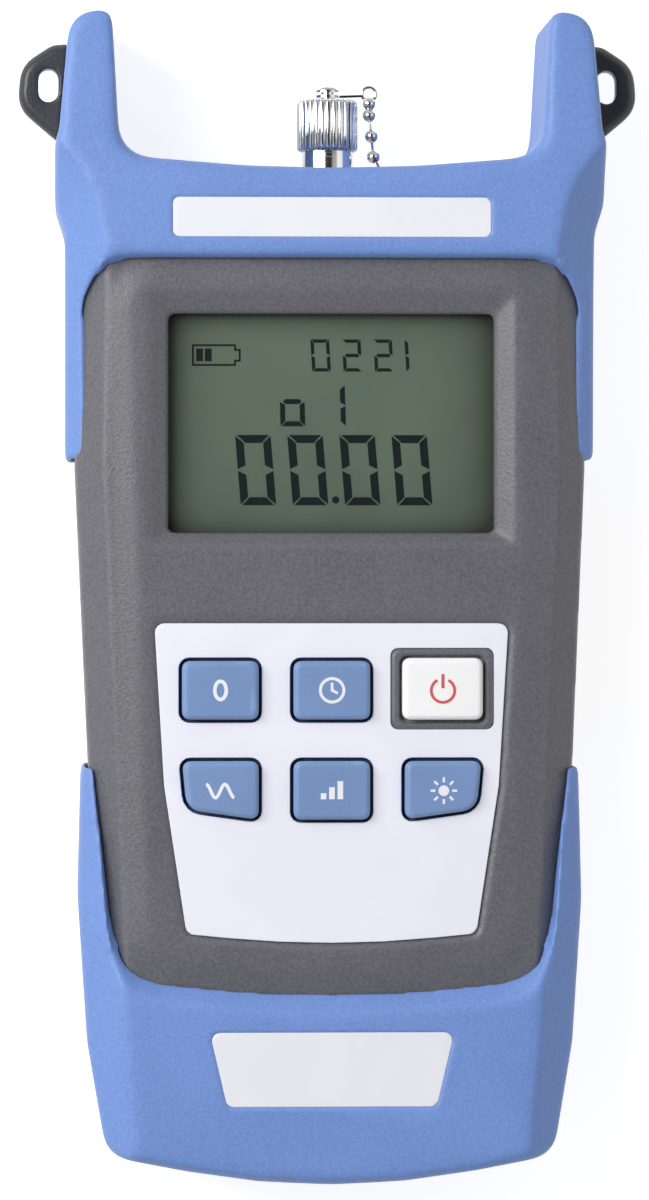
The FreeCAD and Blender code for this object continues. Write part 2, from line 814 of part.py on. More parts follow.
def rear_shell():
    block = case_block().cut(case_cavity())
    block = block.common(box(-CUT_HALF, CUT_HALF, -CUT_REACH, CUT_REACH, BACK_Z - 1, SPLIT_Z))
    groove = lengthened(door_seat(DOOR_TONGUE + DOOR_GAP), DOOR_TRAVEL)
    plate_seat = lengthened(door_seat(DOOR_GAP), DOOR_TRAVEL)
    seat_rim = prism(inset(groove, -DOOR_RIM), BACK_Z + DOOR_RIM_SINK, DOOR_INNER_Z + DOOR_GAP + DOOR_RIM)
    tray = box(
        -BAY_HALF - BAY_WALL,
        BAY_HALF + BAY_WALL,
        BAY_LOW_Y - BAY_WALL,
        BAY_TOP_Y + BAY_WALL,
        DOOR_INNER_Z,
        BAY_TOP_Z + BAY_WALL,
    )
    columns = [post(x, y, BACK_Z + 1, SPLIT_Z, BOSS_R) for x, y in CASE_SCREWS]
    block = fuse([block, seat_rim, tray] + columns)
    tools = [
        box(-BAY_HALF, BAY_HALF, BAY_LOW_Y, BAY_TOP_Y, BACK_Z - 1, BAY_TOP_Z),
        prism(plate_seat, BACK_Z - 1, DOOR_INNER_Z + DOOR_GAP),
        prism(groove, TONGUE_Z - DOOR_GAP, DOOR_INNER_Z + DOOR_GAP),
        receptacle_hole(),
    ]
    tools += flange_screw_holes()
    for x, y in CASE_SCREWS:
        tools.append(post(x, y, BACK_Z - 1, SPLIT_Z + 1, SCREW_R + HOLE_FIT))
        tools.append(post(x, y, BACK_Z - 1, SCREW_SEAT_Z, SCREW_HEAD_R + HOLE_FIT, ROUND_SIDES))
    return cut(block, tools)


def battery_door():
    plate = prism(door_seat(0), BACK_Z, DOOR_INNER_Z)
    tongues = prism(door_seat(DOOR_TONGUE), TONGUE_Z, DOOR_INNER_Z)
    door = fuse([plate, tongues])
    first = BAY_LOW_Y + DOOR_RIB_INSET
    half, floor = DOOR_RIB_HALF, BACK_Z + DOOR_RIB_DEPTH
    grips = []
    for i in range(DOOR_RIBS):
        y = first + i * DOOR_RIB_PITCH
        grips.append(box(-half, half, y, y + DOOR_RIB_PITCH / 2, BACK_Z - 1, floor))
    return cut(door, grips)


def cell(name):
    """An AA cell; the middle one lies the other way round."""
    x = CELLS[name]
    can_end = CELL_LOW_Y + CELL_LENGTH
    body = post_y(x, CELL_Z, CELL_LOW_Y, can_end, CELL_R, CELL_SIDES)
    nub = post_y(x, CELL_Z, can_end, can_end + CELL_NUB, CELL_NUB_R)
    solid = fuse([body, nub])
    if name == "middle":
        middle_y = (CELL_LOW_Y + CELL_TOP_Y) / 2
        solid = solid.mirror(V(0, middle_y, 0), Y_AXIS)
    return solid


def contact(x, wall_y, cell_y):
    """A sprung strip folded out from the bay's end wall to the end of a cell."""
    side = 1 if cell_y > wall_y else -1
    tip = abs(cell_y - wall_y)
    half = CONTACT_WIDTH / 2
    thick = CONTACT_THICK
    foot, nose = CONTACT_FOOT, CONTACT_TIP
    inner_foot, inner_nose = foot - CONTACT_BEND, nose - CONTACT_BEND
    fold = [(foot, thick), (nose, tip), (-nose, tip), (-foot, thick)]
    hollow = [(inner_foot, 0), (inner_nose, tip - thick), (-inner_nose, tip - thick), (-inner_foot, 0)]
    outer = [(-half, 0), (half, 0), (half, thick)] + fold + [(-half, thick)]
    inner = [(-inner_foot, -1), (inner_foot, -1)] + hollow
    low = CELL_Z - CONTACT_HEIGHT / 2

    def block(corners):
        points = [V(x + across, wall_y + side * along, low) for across, along in corners]
        return flat_face(points).extrude(V(0, 0, CONTACT_HEIGHT))

    return block(outer).cut(block(inner))


def contacts(wall_y, cell_y):
    return Part.makeCompound([contact(x, wall_y, cell_y) for x in CELLS.values()])


# ---------------------------------------------------------------- boots
def side_facet(stations):
    """What is cut off the right front edge of a boot: a triangular bar whose crest wanders along Y."""
    rings = []
    top = CREST_Z + FLOOR_MARGIN
    for y, crest in stations:
        start = crest - FLOOR_MARGIN / BEVEL_SLOPE
        low = CREST_Z - BEVEL_SLOPE * (BEVEL_REACH - crest)
        corners = [V(start, y, top), V(BEVEL_REACH, y, top), V(BEVEL_REACH, y, low)]
        rings.append(corners)
    return stacked(rings)


def boot_block(outline):
    """A boot before it is hollowed: softened edges at the back and the front."""
    return layered([
        (inset(outline, BOOT_EDGE * EDGE_SHARE), 0.0),
        (outline, BOOT_EDGE),
        (outline, CREST_Z - BOOT_EDGE),
        (inset(outline, BOOT_EDGE * EDGE_SHARE), CREST_Z),
    ])


def boot_opening(top_in, top_out, low_in, low_out):
    """The front opening of a boot, with a rim that slopes back to the case."""
    return layered([
        (face_outline(0, -top_in, -low_in), RIM_LOW_Z - RIM_ROOT),
        (face_outline(0, -top_in, -low_in), RIM_LOW_Z),
        (face_outline(SIDE_RIM_OUT, top_out, low_out), CREST_Z + ROOT),
    ])


def horn_fall():
    """The wedge above the horns' sloping front."""
    reach = HORN_TIP_Y + 1
    low = CREST_Z - HORN_FALL * (reach - SLOPE_Y) / (HORN_TIP_Y - SLOPE_Y)
    side = [(SLOPE_Y, CREST_Z), (reach, low), (reach, CREST_Z + 1), (SLOPE_Y, CREST_Z + 1)]
    return flat_face([V(-CUT_HALF, y, z) for y, z in side]).extrude(V(2 * CUT_HALF, 0, 0))


def lug_tenon():
    horn_half = HORN_FOOT_HALF
    return box(
        horn_half - LUG_TENON_DEPTH - 1,
        horn_half + 1,
        LUG_Y - LUG_TENON_HALF,
        LUG_Y + LUG_TENON_HALF,
        LUG_Z - LUG_TENON_THICK / 2,
        LUG_Z + LUG_TENON_THICK / 2,
    )


def label_recess(outline):
    return prism(inset(outline, -LABEL_GAP), CREST_Z - LABEL_THICK - LABEL_SINK, CREST_Z + 1)


def top_boot():
    block = boot_block(top_boot_outline())
    tools = both_sides(side_facet(BEVEL_STATIONS)) + both_sides(lug_tenon())
    tools += [horn_fall(), case_block(), prism(back_outline(), -1, SPLIT_Z)]
    tools.append(boot_opening(TOP_RIM_IN, TOP_RIM_OUT, 0, 0))
    tools.append(box(-POCKET_LEFT, POCKET_RIGHT, SHELL_TOP_Y - 2, HORN_TIP_Y, POCKET_LOW_Z, POCKET_TOP_Z))
    tools.append(label_recess(top_label_outline()))
    return cut(block, tools)


def bottom_boot():
    block = boot_block(bottom_boot_outline())
    tools = both_sides(side_facet(CUP_BEVEL_STATIONS))
    tools += [case_block(), prism(back_outline(), -1, SPLIT_Z)]
    tools.append(boot_opening(0, 0, LOW_RIM_IN, LOW_RIM_OUT))
    tools.append(label_recess(bottom_label_outline()))
    return cut(block, tools)


def strap_lug():
    """The right-hand lug: a bevelled D with a slot, and a tenon that the horn grips."""
    outline = [(LUG_ROOT_X, LUG_Y + LUG_OUTLINE[0][1], LUG_ROOT_R)]
    outline += [(x, LUG_Y + y, r) for x, y, r in LUG_OUTLINE]
    outline.append((LUG_ROOT_X, LUG_Y + LUG_OUTLINE[-1][1] + LUG_ROOT_R, LUG_ROOT_R))
    low = LUG_Z - LUG_THICK / 2
    high = LUG_Z + LUG_THICK / 2
    plate = layered([
        (inset(outline, LUG_EDGE), low),
        (outline, low + LUG_EDGE),
        (outline, high - LUG_EDGE),
        (inset(outline, LUG_EDGE), high),
    ])
    half = LUG_SLOT_LENGTH / 2
    width = LUG_SLOT_WIDTH / 2
    slot_r = width - LEAST_R / 2
    slot_outline = rectangle(width, LUG_SLOT_Y - half, LUG_SLOT_Y + half, slot_r, LUG_SLOT_X)
    slot = prism(slot_outline, low - 1, high + 1)
    horn = layered([(top_boot_outline(), low - 1), (top_boot_outline(), high + 1)])
    plate = plate.cut(horn)
    tenon = lug_tenon().common(horn)
    return fuse([plate, tenon]).cut(slot)


def top_label():
    low = CREST_Z - LABEL_THICK - LABEL_SINK
    return prism(top_label_outline(), low, low + LABEL_THICK)


def bottom_label():
    low = CREST_Z - LABEL_THICK - LABEL_SINK
    return prism(bottom_label_outline(), low, low + LABEL_THICK)


# ---------------------------------------------------------------- keypad
FLANGE_TOP_Z = INNER_FRONT_Z - KEY_STOP_GAP
FLANGE_LOW_Z = FLANGE_TOP_Z - KEY_FLANGE_THICK
SWITCH_TOP_Z = BOARD_TOP_Z + SWITCH_HEIGHT
PLUNGER_TOP_Z = SWITCH_TOP_Z + PLUNGER_PROUD


def keypad_panel():
    low = FRONT_Z - PANEL_DEPTH
    panel = prism(panel_outline(), low, low + PANEL_THICK)
    holes = [prism(inset(plinth_outline(), -LABEL_GAP), low - 1, FRONT_Z + 1)]
    for name in KEYS:
        if name != "power":
            holes.append(prism(inset(key_outline(name), -KEY_WINDOW_GAP), low - 1, FRONT_Z + 1))
    return cut(panel, holes)


def key(name):
    """A key cap with its retaining flange and the stem that presses its switch."""
    outline = key_outline(name)
    x, y = KEYS[name]
    cap = layered([
        (outline, FLANGE_LOW_Z),
        (outline, KEY_TOP_Z - KEY_EDGE),
        (inset(outline, KEY_EDGE), KEY_TOP_Z),
    ])
    flange = prism(inset(squared(outline), -KEY_FLANGE), FLANGE_LOW_Z, FLANGE_TOP_Z)
    stem = post(x, y, PLUNGER_TOP_Z, FLANGE_LOW_Z + ROOT, KEY_STEM_R)
    return fuse([cap, flange, stem])


def plunger(name):
    x, y = KEYS[name]
    half = PLUNGER_SIZE / 2
    return box(x - half, x + half, y - half, y + half, SWITCH_TOP_Z - PLUNGER_DEPTH, PLUNGER_TOP_Z)


def switch_bodies():
    half = SWITCH_SIZE / 2
    bodies = []
    for x, y in KEYS.values():
        body = box(x - half, x + half, y - half, y + half, BOARD_TOP_Z, SWITCH_TOP_Z)
        floor = SWITCH_TOP_Z - PLUNGER_DEPTH - KEY_TRAVEL - PLUNGER_SPARE
        well = PLUNGER_SIZE / 2 + PLUNGER_FIT
        bodies.append(body.cut(box(x - well, x + well, y - well, y + well, floor, SWITCH_TOP_Z + 1)))
    return Part.makeCompound(bodies)


# ---------------------------------------------------------------- display
WINDOW_LOW_Z = INNER_FRONT_Z - WINDOW_THICK
LCD_TOP_Z = WINDOW_LOW_Z - LCD_GAP
LCD_LOW_Z = LCD_TOP_Z - LCD_THICK
LCD_HALF = SCREEN_HALF + LCD_LAP
LCD_LOW_Y = SCREEN_LOW_Y - LCD_LAP
LCD_TOP_Y = SCREEN_TOP_Y + LCD_LAP
LIGHT_LOW_Y = LCD_LOW_Y + ZEBRA_WIDTH + LCD_GAP
LIGHT_TOP_Y = LCD_TOP_Y - ZEBRA_WIDTH - LCD_GAP
LIGHT_LOW_Z = LCD_LOW_Z - BACKLIGHT_THICK


def display_window():
    half = SCREEN_HALF + WINDOW_LAP
    low_y, high_y = SCREEN_LOW_Y - WINDOW_LAP, SCREEN_TOP_Y + WINDOW_LAP
    return box(-half, half, low_y, high_y, WINDOW_LOW_Z, INNER_FRONT_Z)


def lcd_glass():
    return box(-LCD_HALF, LCD_HALF, LCD_LOW_Y, LCD_TOP_Y, LCD_LOW_Z, LCD_TOP_Z)


def backlight_panel():
    return box(-LCD_HALF, LCD_HALF, LIGHT_LOW_Y, LIGHT_TOP_Y, LIGHT_LOW_Z, LCD_LOW_Z)


def contact_strips():
    half = SCREEN_HALF
    low = box(-half, half, LCD_LOW_Y, LCD_LOW_Y + ZEBRA_WIDTH, BOARD_TOP_Z, LCD_LOW_Z)
    high = box(-half, half, LCD_TOP_Y - ZEBRA_WIDTH, LCD_TOP_Y, BOARD_TOP_Z, LCD_LOW_Z)
    return Part.makeCompound([low, high])


def lcd_frame():
    """The tray that holds the display on the board."""
    gap = LCD_GAP
    outer_half = LCD_HALF + gap + FRAME_WALL
    outer = box(
        -outer_half,
        outer_half,
        LCD_LOW_Y - gap - FRAME_WALL,
        LCD_TOP_Y + gap + FRAME_WALL,
        BOARD_TOP_Z,
        WINDOW_LOW_Z,
    )
    half, low_y, high_y = LCD_HALF + gap, LCD_LOW_Y - gap, LCD_TOP_Y + gap
    well = box(-half, half, low_y, high_y, BOARD_TOP_Z - 1, WINDOW_LOW_Z + 1)
    ledge = box(LCD_HALF - LEDGE_WIDTH, half + ROOT, LIGHT_LOW_Y, LIGHT_TOP_Y, BOARD_TOP_Z, LIGHT_LOW_Z)
    return fuse([outer.cut(well)] + both_sides(ledge))


# ---------------------------------------------------------------- circuit board
def main_board():
    outline = mirrored([(BOARD_LOW_HALF, BOARD_LOW_Y, 0), (BOARD_HALF, BOARD_TOP_Y, 0)])
    low, high = BOARD_Z - 1, BOARD_TOP_Z + 1
    holes = [post(x, y, low, high, BOARD_SCREW_R + HOLE_FIT) for x, y in BOARD_POSTS]
    return cut(prism(outline, BOARD_Z, BOARD_TOP_Z), holes)


def board_screws():
    screws = []
    for x, y in BOARD_POSTS:
        shank = post(x, y, BOARD_Z, BOARD_Z + BOARD_SCREW_LENGTH, BOARD_SCREW_R)
        head = post(x, y, BOARD_Z - BOARD_SCREW_HEAD, BOARD_Z, BOARD_SCREW_HEAD_R)
        screws.append(fuse([shank, head]))
    return Part.makeCompound(screws)


def processor_chip():
    half = CHIP_SIZE / 2
    x, y, z = CHIP_X, CHIP_Y, BOARD_TOP_Z
    return box(x - half, x + half, y - half, y + half, z, z + CHIP_THICK)


def amplifier_chip():
    half_x, half_y = AMP_LENGTH / 2, AMP_WIDTH / 2
    x, y, z = AMP_X, AMP_Y, BOARD_Z
    return box(x - half_x, x + half_x, y - half_y, y + half_y, z - CHIP_THICK, z)


def case_screws():
    screws = []
    for x, y in CASE_SCREWS:
        shank = post(x, y, SCREW_SEAT_Z, SCREW_SEAT_Z + SCREW_LENGTH, SCREW_R)
        head = post(x, y, SCREW_SEAT_Z - SCREW_HEAD, SCREW_SEAT_Z, SCREW_HEAD_R, ROUND_SIDES)
        screws.append(fuse([shank, head]))
    return Part.makeCompound(screws)


# ---------------------------------------------------------------- optical receptacle
FLANGE_FRONT_Y = SHELL_TOP_Y + FLANGE_THICK
BARREL_END_Y = FLANGE_FRONT_Y + BARREL_LENGTH
TAIL_END_Y = SHELL_TOP_Y - TAIL_LENGTH
HALF_PITCH = FLANGE_SCREW_PITCH / 2
FLANGE_SCREWS = ((-HALF_PITCH, CONN_Z + HALF_PITCH), (HALF_PITCH, CONN_Z - HALF_PITCH))


def flange_screw_holes():
    return [post_y(x, z, END_WALL_Y - 1, SHELL_TOP_Y + 1, SMALL_SCREW_R) for x, z in FLANGE_SCREWS]


def receptacle_body():
    """Square flange, threaded barrel with its keyway, inner ferrule core and tail."""
    flange = prism(rectangle(FLANGE_SIZE / 2, -FLANGE_SIZE / 2, FLANGE_SIZE / 2, FLANGE_R), 0, FLANGE_THICK)
    flange.rotate(V(0, 0, 0), X_AXIS, -90)
    flange.translate(V(0, SHELL_TOP_Y, CONN_Z))
    barrel = rod_y(0, CONN_Z, SHELL_TOP_Y, BARREL_END_Y, BARREL_R)
    tail = post_y(0, CONN_Z, TAIL_END_Y, SHELL_TOP_Y, TAIL_R, ROUND_SIDES)
    body = fuse([flange, barrel, tail])
    bore_floor = BARREL_END_Y - BARREL_BORE_DEPTH
    ring = rod_y(0, CONN_Z, bore_floor, BARREL_END_Y + 1, BARREL_BORE_R)
    ring = ring.cut(post_y(0, CONN_Z, bore_floor - 1, BARREL_END_Y - CORE_SINK, CORE_R, ROUND_SIDES))
    can_floor = TAIL_END_Y + CAN_LENGTH
    half, end = KEYWAY_WIDTH / 2, BARREL_END_Y
    keyway = box(-half, half, end - KEYWAY_DEPTH, end + 1, CONN_Z + CORE_R + KEYWAY_FLOOR, CONN_Z + BARREL_R + 1)
    tools = [
        ring,
        post_y(0, CONN_Z, can_floor, BARREL_END_Y, SLEEVE_R, ROUND_SIDES),
        post_y(0, CONN_Z, TAIL_END_Y - 1, can_floor, CAN_R, ROUND_SIDES),
        keyway,
    ]
    hole_r = SMALL_SCREW_R + HOLE_FIT
    tools += [post_y(x, z, SHELL_TOP_Y - 1, FLANGE_FRONT_Y + 1, hole_r) for x, z in FLANGE_SCREWS]
    return cut(body, tools)


def alignment_sleeve():
    end = BARREL_END_Y - CORE_SINK
    start = end - SLEEVE_LENGTH
    sleeve = post_y(0, CONN_Z, start, end, SLEEVE_R, ROUND_SIDES)
    return sleeve.cut(rod_y(0, CONN_Z, start - 1, end + 1, SLEEVE_BORE_R))


def detector_can():
    """The photodiode in its metal can, with three leads bent up to the board."""
    can = post_y(0, CONN_Z, TAIL_END_Y, TAIL_END_Y + CAN_LENGTH, CAN_R, ROUND_SIDES)
    rim = post_y(0, CONN_Z, TAIL_END_Y - CAN_RIM, TAIL_END_Y, CAN_RIM_R, ROUND_SIDES)
    parts = [can, rim]
    back = TAIL_END_Y - CAN_RIM
    bend = BOARD_TOP_Y - LEAD_RUN
    for x in (-LEAD_SPREAD, 0.0, LEAD_SPREAD):
        left, right = x - LEAD_HALF, x + LEAD_HALF
        low, high = bend - LEAD_HALF, bend + LEAD_HALF
        parts.append(box(left, right, low, back + ROOT, CONN_Z - LEAD_HALF, CONN_Z + LEAD_HALF))
        parts.append(box(left, right, low, high, CONN_Z, BOARD_Z))
    return fuse(parts)


def flange_screw(x, z, seat_y):
    shank = post_y(x, z, seat_y - SMALL_SCREW_LENGTH, seat_y, SMALL_SCREW_R)
    head = post_y(x, z, seat_y, seat_y + SMALL_SCREW_HEAD, SMALL_SCREW_HEAD_R, ROUND_SIDES)
    return fuse([shank, head])


def receptacle_screws():
    (left_x, left_z), (right_x, right_z) = FLANGE_SCREWS
    plain = flange_screw(left_x, left_z, FLANGE_FRONT_Y)
    over_anchor = flange_screw(right_x, right_z, FLANGE_FRONT_Y + ANCHOR_THICK)
    return Part.makeCompound([plain, over_anchor])


def chain_anchor():
    """The eyelet under one flange screw that holds the fixed end of the chain."""
    x, z = FLANGE_SCREWS[1]
    low = FLANGE_FRONT_Y
    ring = post_y(x, z, low, low + ANCHOR_THICK, ANCHOR_R, ROUND_SIDES)
    arm = box(0, ANCHOR_REACH, low, low + ANCHOR_THICK, -ANCHOR_WIDTH / 2, ANCHOR_WIDTH / 2)
    arm.rotate(V(0, 0, 0), Y_AXIS, ANCHOR_TURN)
    arm.translate(V(x, 0, z))
    return fuse([ring, arm]).cut(post_y(x, z, low - 1, low + 1, SMALL_SCREW_R + HOLE_FIT / 2))


# ---------------------------------------------------------------- dust cap and chain
def fluted_ring(y, shrink):
    """The knurled outline of the cap at height y, its radii less shrink."""
    flute_turn = 2 * math.pi / CAP_FLUTES
    points = []
    for i in range(CAP_FLUTES):
        for share, depth in FLUTE:
            angle = flute_turn * (i + share)
            radius = CAP_R - shrink - depth * CAP_FLUTE_DEPTH
            points.append(V(radius * math.cos(angle), y, CONN_Z + radius * math.sin(angle)))
    return points


def dust_cap():
    """Knurled cap: straight flutes round a cup, chamfered at the closed end."""
    rings = [
        fluted_ring(CAP_LOW_Y, 0),
        fluted_ring(CAP_TOP_Y - CAP_CHAMFER, 0),
        fluted_ring(CAP_TOP_Y, CAP_CHAMFER),
    ]
    body = stacked(rings)
    cup = rod_y(0, CONN_Z, CAP_LOW_Y - 1, CAP_TOP_Y - CAP_ROOF, BARREL_R + CAP_FIT)
    rivet_hole = post_y(0, CONN_Z, CAP_TOP_Y - RIVET_ROOT, CAP_TOP_Y + 1, RIVET_NECK_R, ROUND_SIDES)
    return cut(body, [cup, rivet_hole])


def cap_rivet():
    """Domed rivet that the chain's eyelet turns on."""
    neck_end = CAP_TOP_Y + RIVET_NECK
    shank = post_y(0, CONN_Z, CAP_TOP_Y - RIVET_ROOT, neck_end, RIVET_NECK_R, ROUND_SIDES)
    crown = RIVET_HEAD - RIVET_RIM
    ball_r = (RIVET_HEAD_R ** 2 + crown ** 2) / (2 * crown)
    centre = V(0, neck_end + RIVET_HEAD - ball_r, CONN_Z)
    edge = math.degrees(math.acos(RIVET_HEAD_R / ball_r))
    latitudes = [edge + (90 - edge) * share for share in RIVET_STEPS]
    rim = post_y(0, CONN_Z, neck_end, neck_end + RIVET_RIM, RIVET_HEAD_R, ROUND_SIDES)
    dome = ball(centre, ball_r, ROUND_SIDES, latitudes)
    return fuse([shank, rim, dome])


def chain_eyelet():
    """A thin ring round the rivet, its arm and the wire ring at its end."""
    low = CAP_TOP_Y + EYELET_SEAT
    ring = post_y(0, CONN_Z, low, low + EYELET_THICK, EYELET_R, ROUND_SIDES)
    arm_low, arm_high = CONN_Z - EYELET_ARM_HALF, CONN_Z + EYELET_ARM_HALF
    arm = box(EYELET_R - EYELET_ARM_ROOT, RING_X - RING_R, low, low + EYELET_THICK, arm_low, arm_high)
    low_z = CONN_Z - RING_WIRE_R
    high_z = CONN_Z + RING_WIRE_R
    loop = post(RING_X, RING_Y, low_z, high_z, RING_R + RING_WIRE_R, ROUND_SIDES)
    loop = loop.cut(post(RING_X, RING_Y, low_z - 1, high_z + 1, RING_R - RING_WIRE_R, ROUND_SIDES))
    hole = post_y(0, CONN_Z, low - 1, low + 1, RIVET_NECK_R + EYELET_FIT, ROUND_SIDES)
    return fuse([ring.cut(hole), arm, loop])


def ball(centre, radius, sides, latitudes):
    """A ball of flat facets round Y, stacked from even-sided rings."""
    rings = []
    for latitude in latitudes:
        reach = radius * math.cos(math.radians(latitude))
        height = radius * math.sin(math.radians(latitude))
        points = []
        for i in range(sides):
            angle = 2 * math.pi * (i + 0.5) / sides
            points.append(centre + V(reach * math.cos(angle), height, reach * math.sin(angle)))
        rings.append(points)
    return stacked(rings)


def link(start, end):
    """A short four-sided link between two places."""
    along = (end - start).normalize()
    across = along.cross(Z_AXIS).normalize()
    up = along.cross(across)
    sides = [across, up, across * -1, up * -1]
    corners = [start + side * LINK_R for side in sides]
    return flat_face(corners).extrude(end - start)


def bead_chain():
    """Hollow balls on short links, from under the cap's ring to the anchor."""
    before = V(RING_X, RING_Y - RING_R - RING_WIRE_R - CHAIN_GAP, CONN_Z)
    parts = []
    for place in [V(*place) for place in BEADS]:
        parts += [ball(place, BEAD_R, BEAD_SIDES, BEAD_LATITUDES), link(before, place)]
        before = place
    return fuse(parts)


# ---------------------------------------------------------------- build
def build():
    nodes = {
        "front_shell": front_shell(),
        "rear_shell": rear_shell(),
        "top_boot": top_boot(),
        "bottom_boot": bottom_boot(),
        "strap_lug_right": strap_lug(),
        "strap_lug_left": mirror_x(strap_lug()),
        "top_label": top_label(),
        "bottom_label": bottom_label(),
        "keypad_panel": keypad_panel(),
        "switch_bodies": switch_bodies(),
        "display_window": display_window(),
        "lcd_glass": lcd_glass(),
        "lcd_frame": lcd_frame(),
        "backlight_panel": backlight_panel(),
        "contact_strips": contact_strips(),
        "main_board": main_board(),
        "board_screws": board_screws(),
        "case_screws": case_screws(),
        "processor_chip": processor_chip(),
        "amplifier_chip": amplifier_chip(),
        "detector_can": detector_can(),
        "receptacle_body": receptacle_body(),
        "alignment_sleeve": alignment_sleeve(),
        "receptacle_screws": receptacle_screws(),
        "dust_cap": dust_cap(),
        "cap_rivet": cap_rivet(),
        "chain_eyelet": chain_eyelet(),
        "bead_chain": bead_chain(),
        "chain_anchor": chain_anchor(),
        "battery_door": battery_door(),
        "contacts_low": contacts(BAY_LOW_Y, CELL_LOW_Y),
        "contacts_high": contacts(BAY_TOP_Y, CELL_TOP_Y),
    }
    for name in KEYS:
        nodes["key_" + name] = key(name)
        nodes["plunger_" + name] = plunger(name)
    for name in CELLS:
        nodes["cell_" + name] = cell(name)
    return nodes


os.makedirs("parts", exist_ok=True)
for node, shape in build().items():
    shape.exportStep("parts/" + node + ".step")
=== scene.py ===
"""Finished look of the handheld optical power meter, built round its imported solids.

Everything is in metres in the frame of the solids: the meter lies on its back, +Z comes out of the
display and +Y points to the optical receptacle. Sizes below are in millimetres and pass through MM.
"""
import json
import math

import bmesh
import bpy
from mathutils import Matrix, Vector


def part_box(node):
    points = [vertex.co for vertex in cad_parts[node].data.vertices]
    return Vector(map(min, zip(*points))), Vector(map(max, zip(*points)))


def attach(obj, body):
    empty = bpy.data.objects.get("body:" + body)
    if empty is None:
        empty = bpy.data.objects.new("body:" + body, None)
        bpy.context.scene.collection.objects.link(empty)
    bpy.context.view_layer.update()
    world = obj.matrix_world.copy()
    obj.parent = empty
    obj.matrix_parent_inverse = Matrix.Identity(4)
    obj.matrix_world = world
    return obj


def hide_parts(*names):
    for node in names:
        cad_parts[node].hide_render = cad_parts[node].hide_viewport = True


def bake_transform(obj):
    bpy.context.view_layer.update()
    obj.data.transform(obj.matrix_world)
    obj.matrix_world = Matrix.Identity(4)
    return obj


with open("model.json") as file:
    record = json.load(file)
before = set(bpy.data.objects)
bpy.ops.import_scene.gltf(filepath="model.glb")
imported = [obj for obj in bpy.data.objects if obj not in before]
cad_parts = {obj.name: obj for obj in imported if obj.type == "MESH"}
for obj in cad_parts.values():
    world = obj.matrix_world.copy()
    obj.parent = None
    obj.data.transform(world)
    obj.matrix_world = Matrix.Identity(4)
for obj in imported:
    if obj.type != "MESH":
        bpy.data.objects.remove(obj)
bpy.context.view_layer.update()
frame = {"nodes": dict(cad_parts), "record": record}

MM = 0.001
BODIES = frame["record"]["behaviour"]["bodies"]
KEY_NAMES = ("power", "timer", "zero", "light", "unit", "wave")


def body_of_node(node):
    return next(body for body, nodes in BODIES.items() if node in nodes)


# ---------------------------------------------------------------- meshes
def mesh_object(name, bm):
    """An object at the origin that holds the mesh, with faces turned outwards."""
    bmesh.ops.recalc_face_normals(bm, faces=bm.faces)
    mesh = bpy.data.meshes.new(name)
    bm.to_mesh(mesh)
    bm.free()
    obj = bpy.data.objects.new(name, mesh)
    bpy.context.scene.collection.objects.link(obj)
    return obj


def set_smooth(obj, sharp_deg):
    """Smooth shading with sharp edges past the angle."""
    mesh = obj.data
    mesh.polygons.foreach_set("use_smooth", [True] * len(mesh.polygons))
    mesh.set_sharp_from_angle(angle=math.radians(sharp_deg))


def made_plain(obj):
    """The object with its modifiers worked into a plain mesh."""
    depsgraph = bpy.context.evaluated_depsgraph_get()
    mesh = bpy.data.meshes.new_from_object(obj.evaluated_get(depsgraph))
    obj.modifiers.clear()
    old = obj.data
    obj.data = mesh
    mesh.name = obj.name
    bpy.data.meshes.remove(old)
    return obj


FINE_WELD = 0.002         # corners closer than this are one, in mm
COARSE_WELD = 0.02        # the same before a remesh
FLAT_DEG = 0.6            # faces that turn less than this are one flat
KNIFE_DEG = 120           # an edge sharper than this keeps its form
ROUND_STEPS = 2           # faces across a rounded edge
SMOOTH_SHARE = 0.5        # how far a round of smoothing goes
EVENING_ROUNDS = 2        # rounds that take the voxels' steps out everywhere


def merged_copy(node, weld, change):
    """A welded copy of a node's mesh, with the triangles of each flat joined up."""
    bm = bmesh.new()
    bm.from_mesh(frame["nodes"][node].data)
    bmesh.ops.remove_doubles(bm, verts=bm.verts, dist=weld * MM)
    if change:
        change(bm)
    bmesh.ops.dissolve_limit(bm, angle_limit=math.radians(FLAT_DEG), verts=bm.verts, edges=bm.edges)
    many_sided = [face for face in bm.faces if len(face.verts) > 4]
    bmesh.ops.triangulate(bm, faces=many_sided, quad_method="BEAUTY", ngon_method="BEAUTY")
    return bm


def softened(name, node, edge_width, change=None):
    """A node's form with its edges rounded; edge_width(middle, angle) gives each width in mm."""
    bm = merged_copy(node, FINE_WELD, change)
    weight = bm.edges.layers.float.new("bevel_weight_edge")
    widths = {}
    for edge in bm.edges:
        if len(edge.link_faces) != 2:
            continue
        angle = math.degrees(edge.calc_face_angle(0))
        a, b = edge.verts
        width = edge_width((a.co + b.co) / 2 / MM, angle)
        if width > 0 and angle < KNIFE_DEG:
            widths[edge] = width
    widest = max(widths.values())
    for edge, width in widths.items():
        edge[weight] = width / widest
    obj = mesh_object(name, bm)
    obj.data.polygons.foreach_set("use_smooth", [True] * len(obj.data.polygons))
    bevel = obj.modifiers.new("rounded edges", "BEVEL")
    bevel.limit_method = "WEIGHT"
    bevel.width = widest * MM
    bevel.segments = ROUND_STEPS
    bevel.use_clamp_overlap = False
    normals = obj.modifiers.new("even shading", "WEIGHTED_NORMAL")
    normals.weight = 90
    normals.keep_sharp = True
    return made_plain(obj)


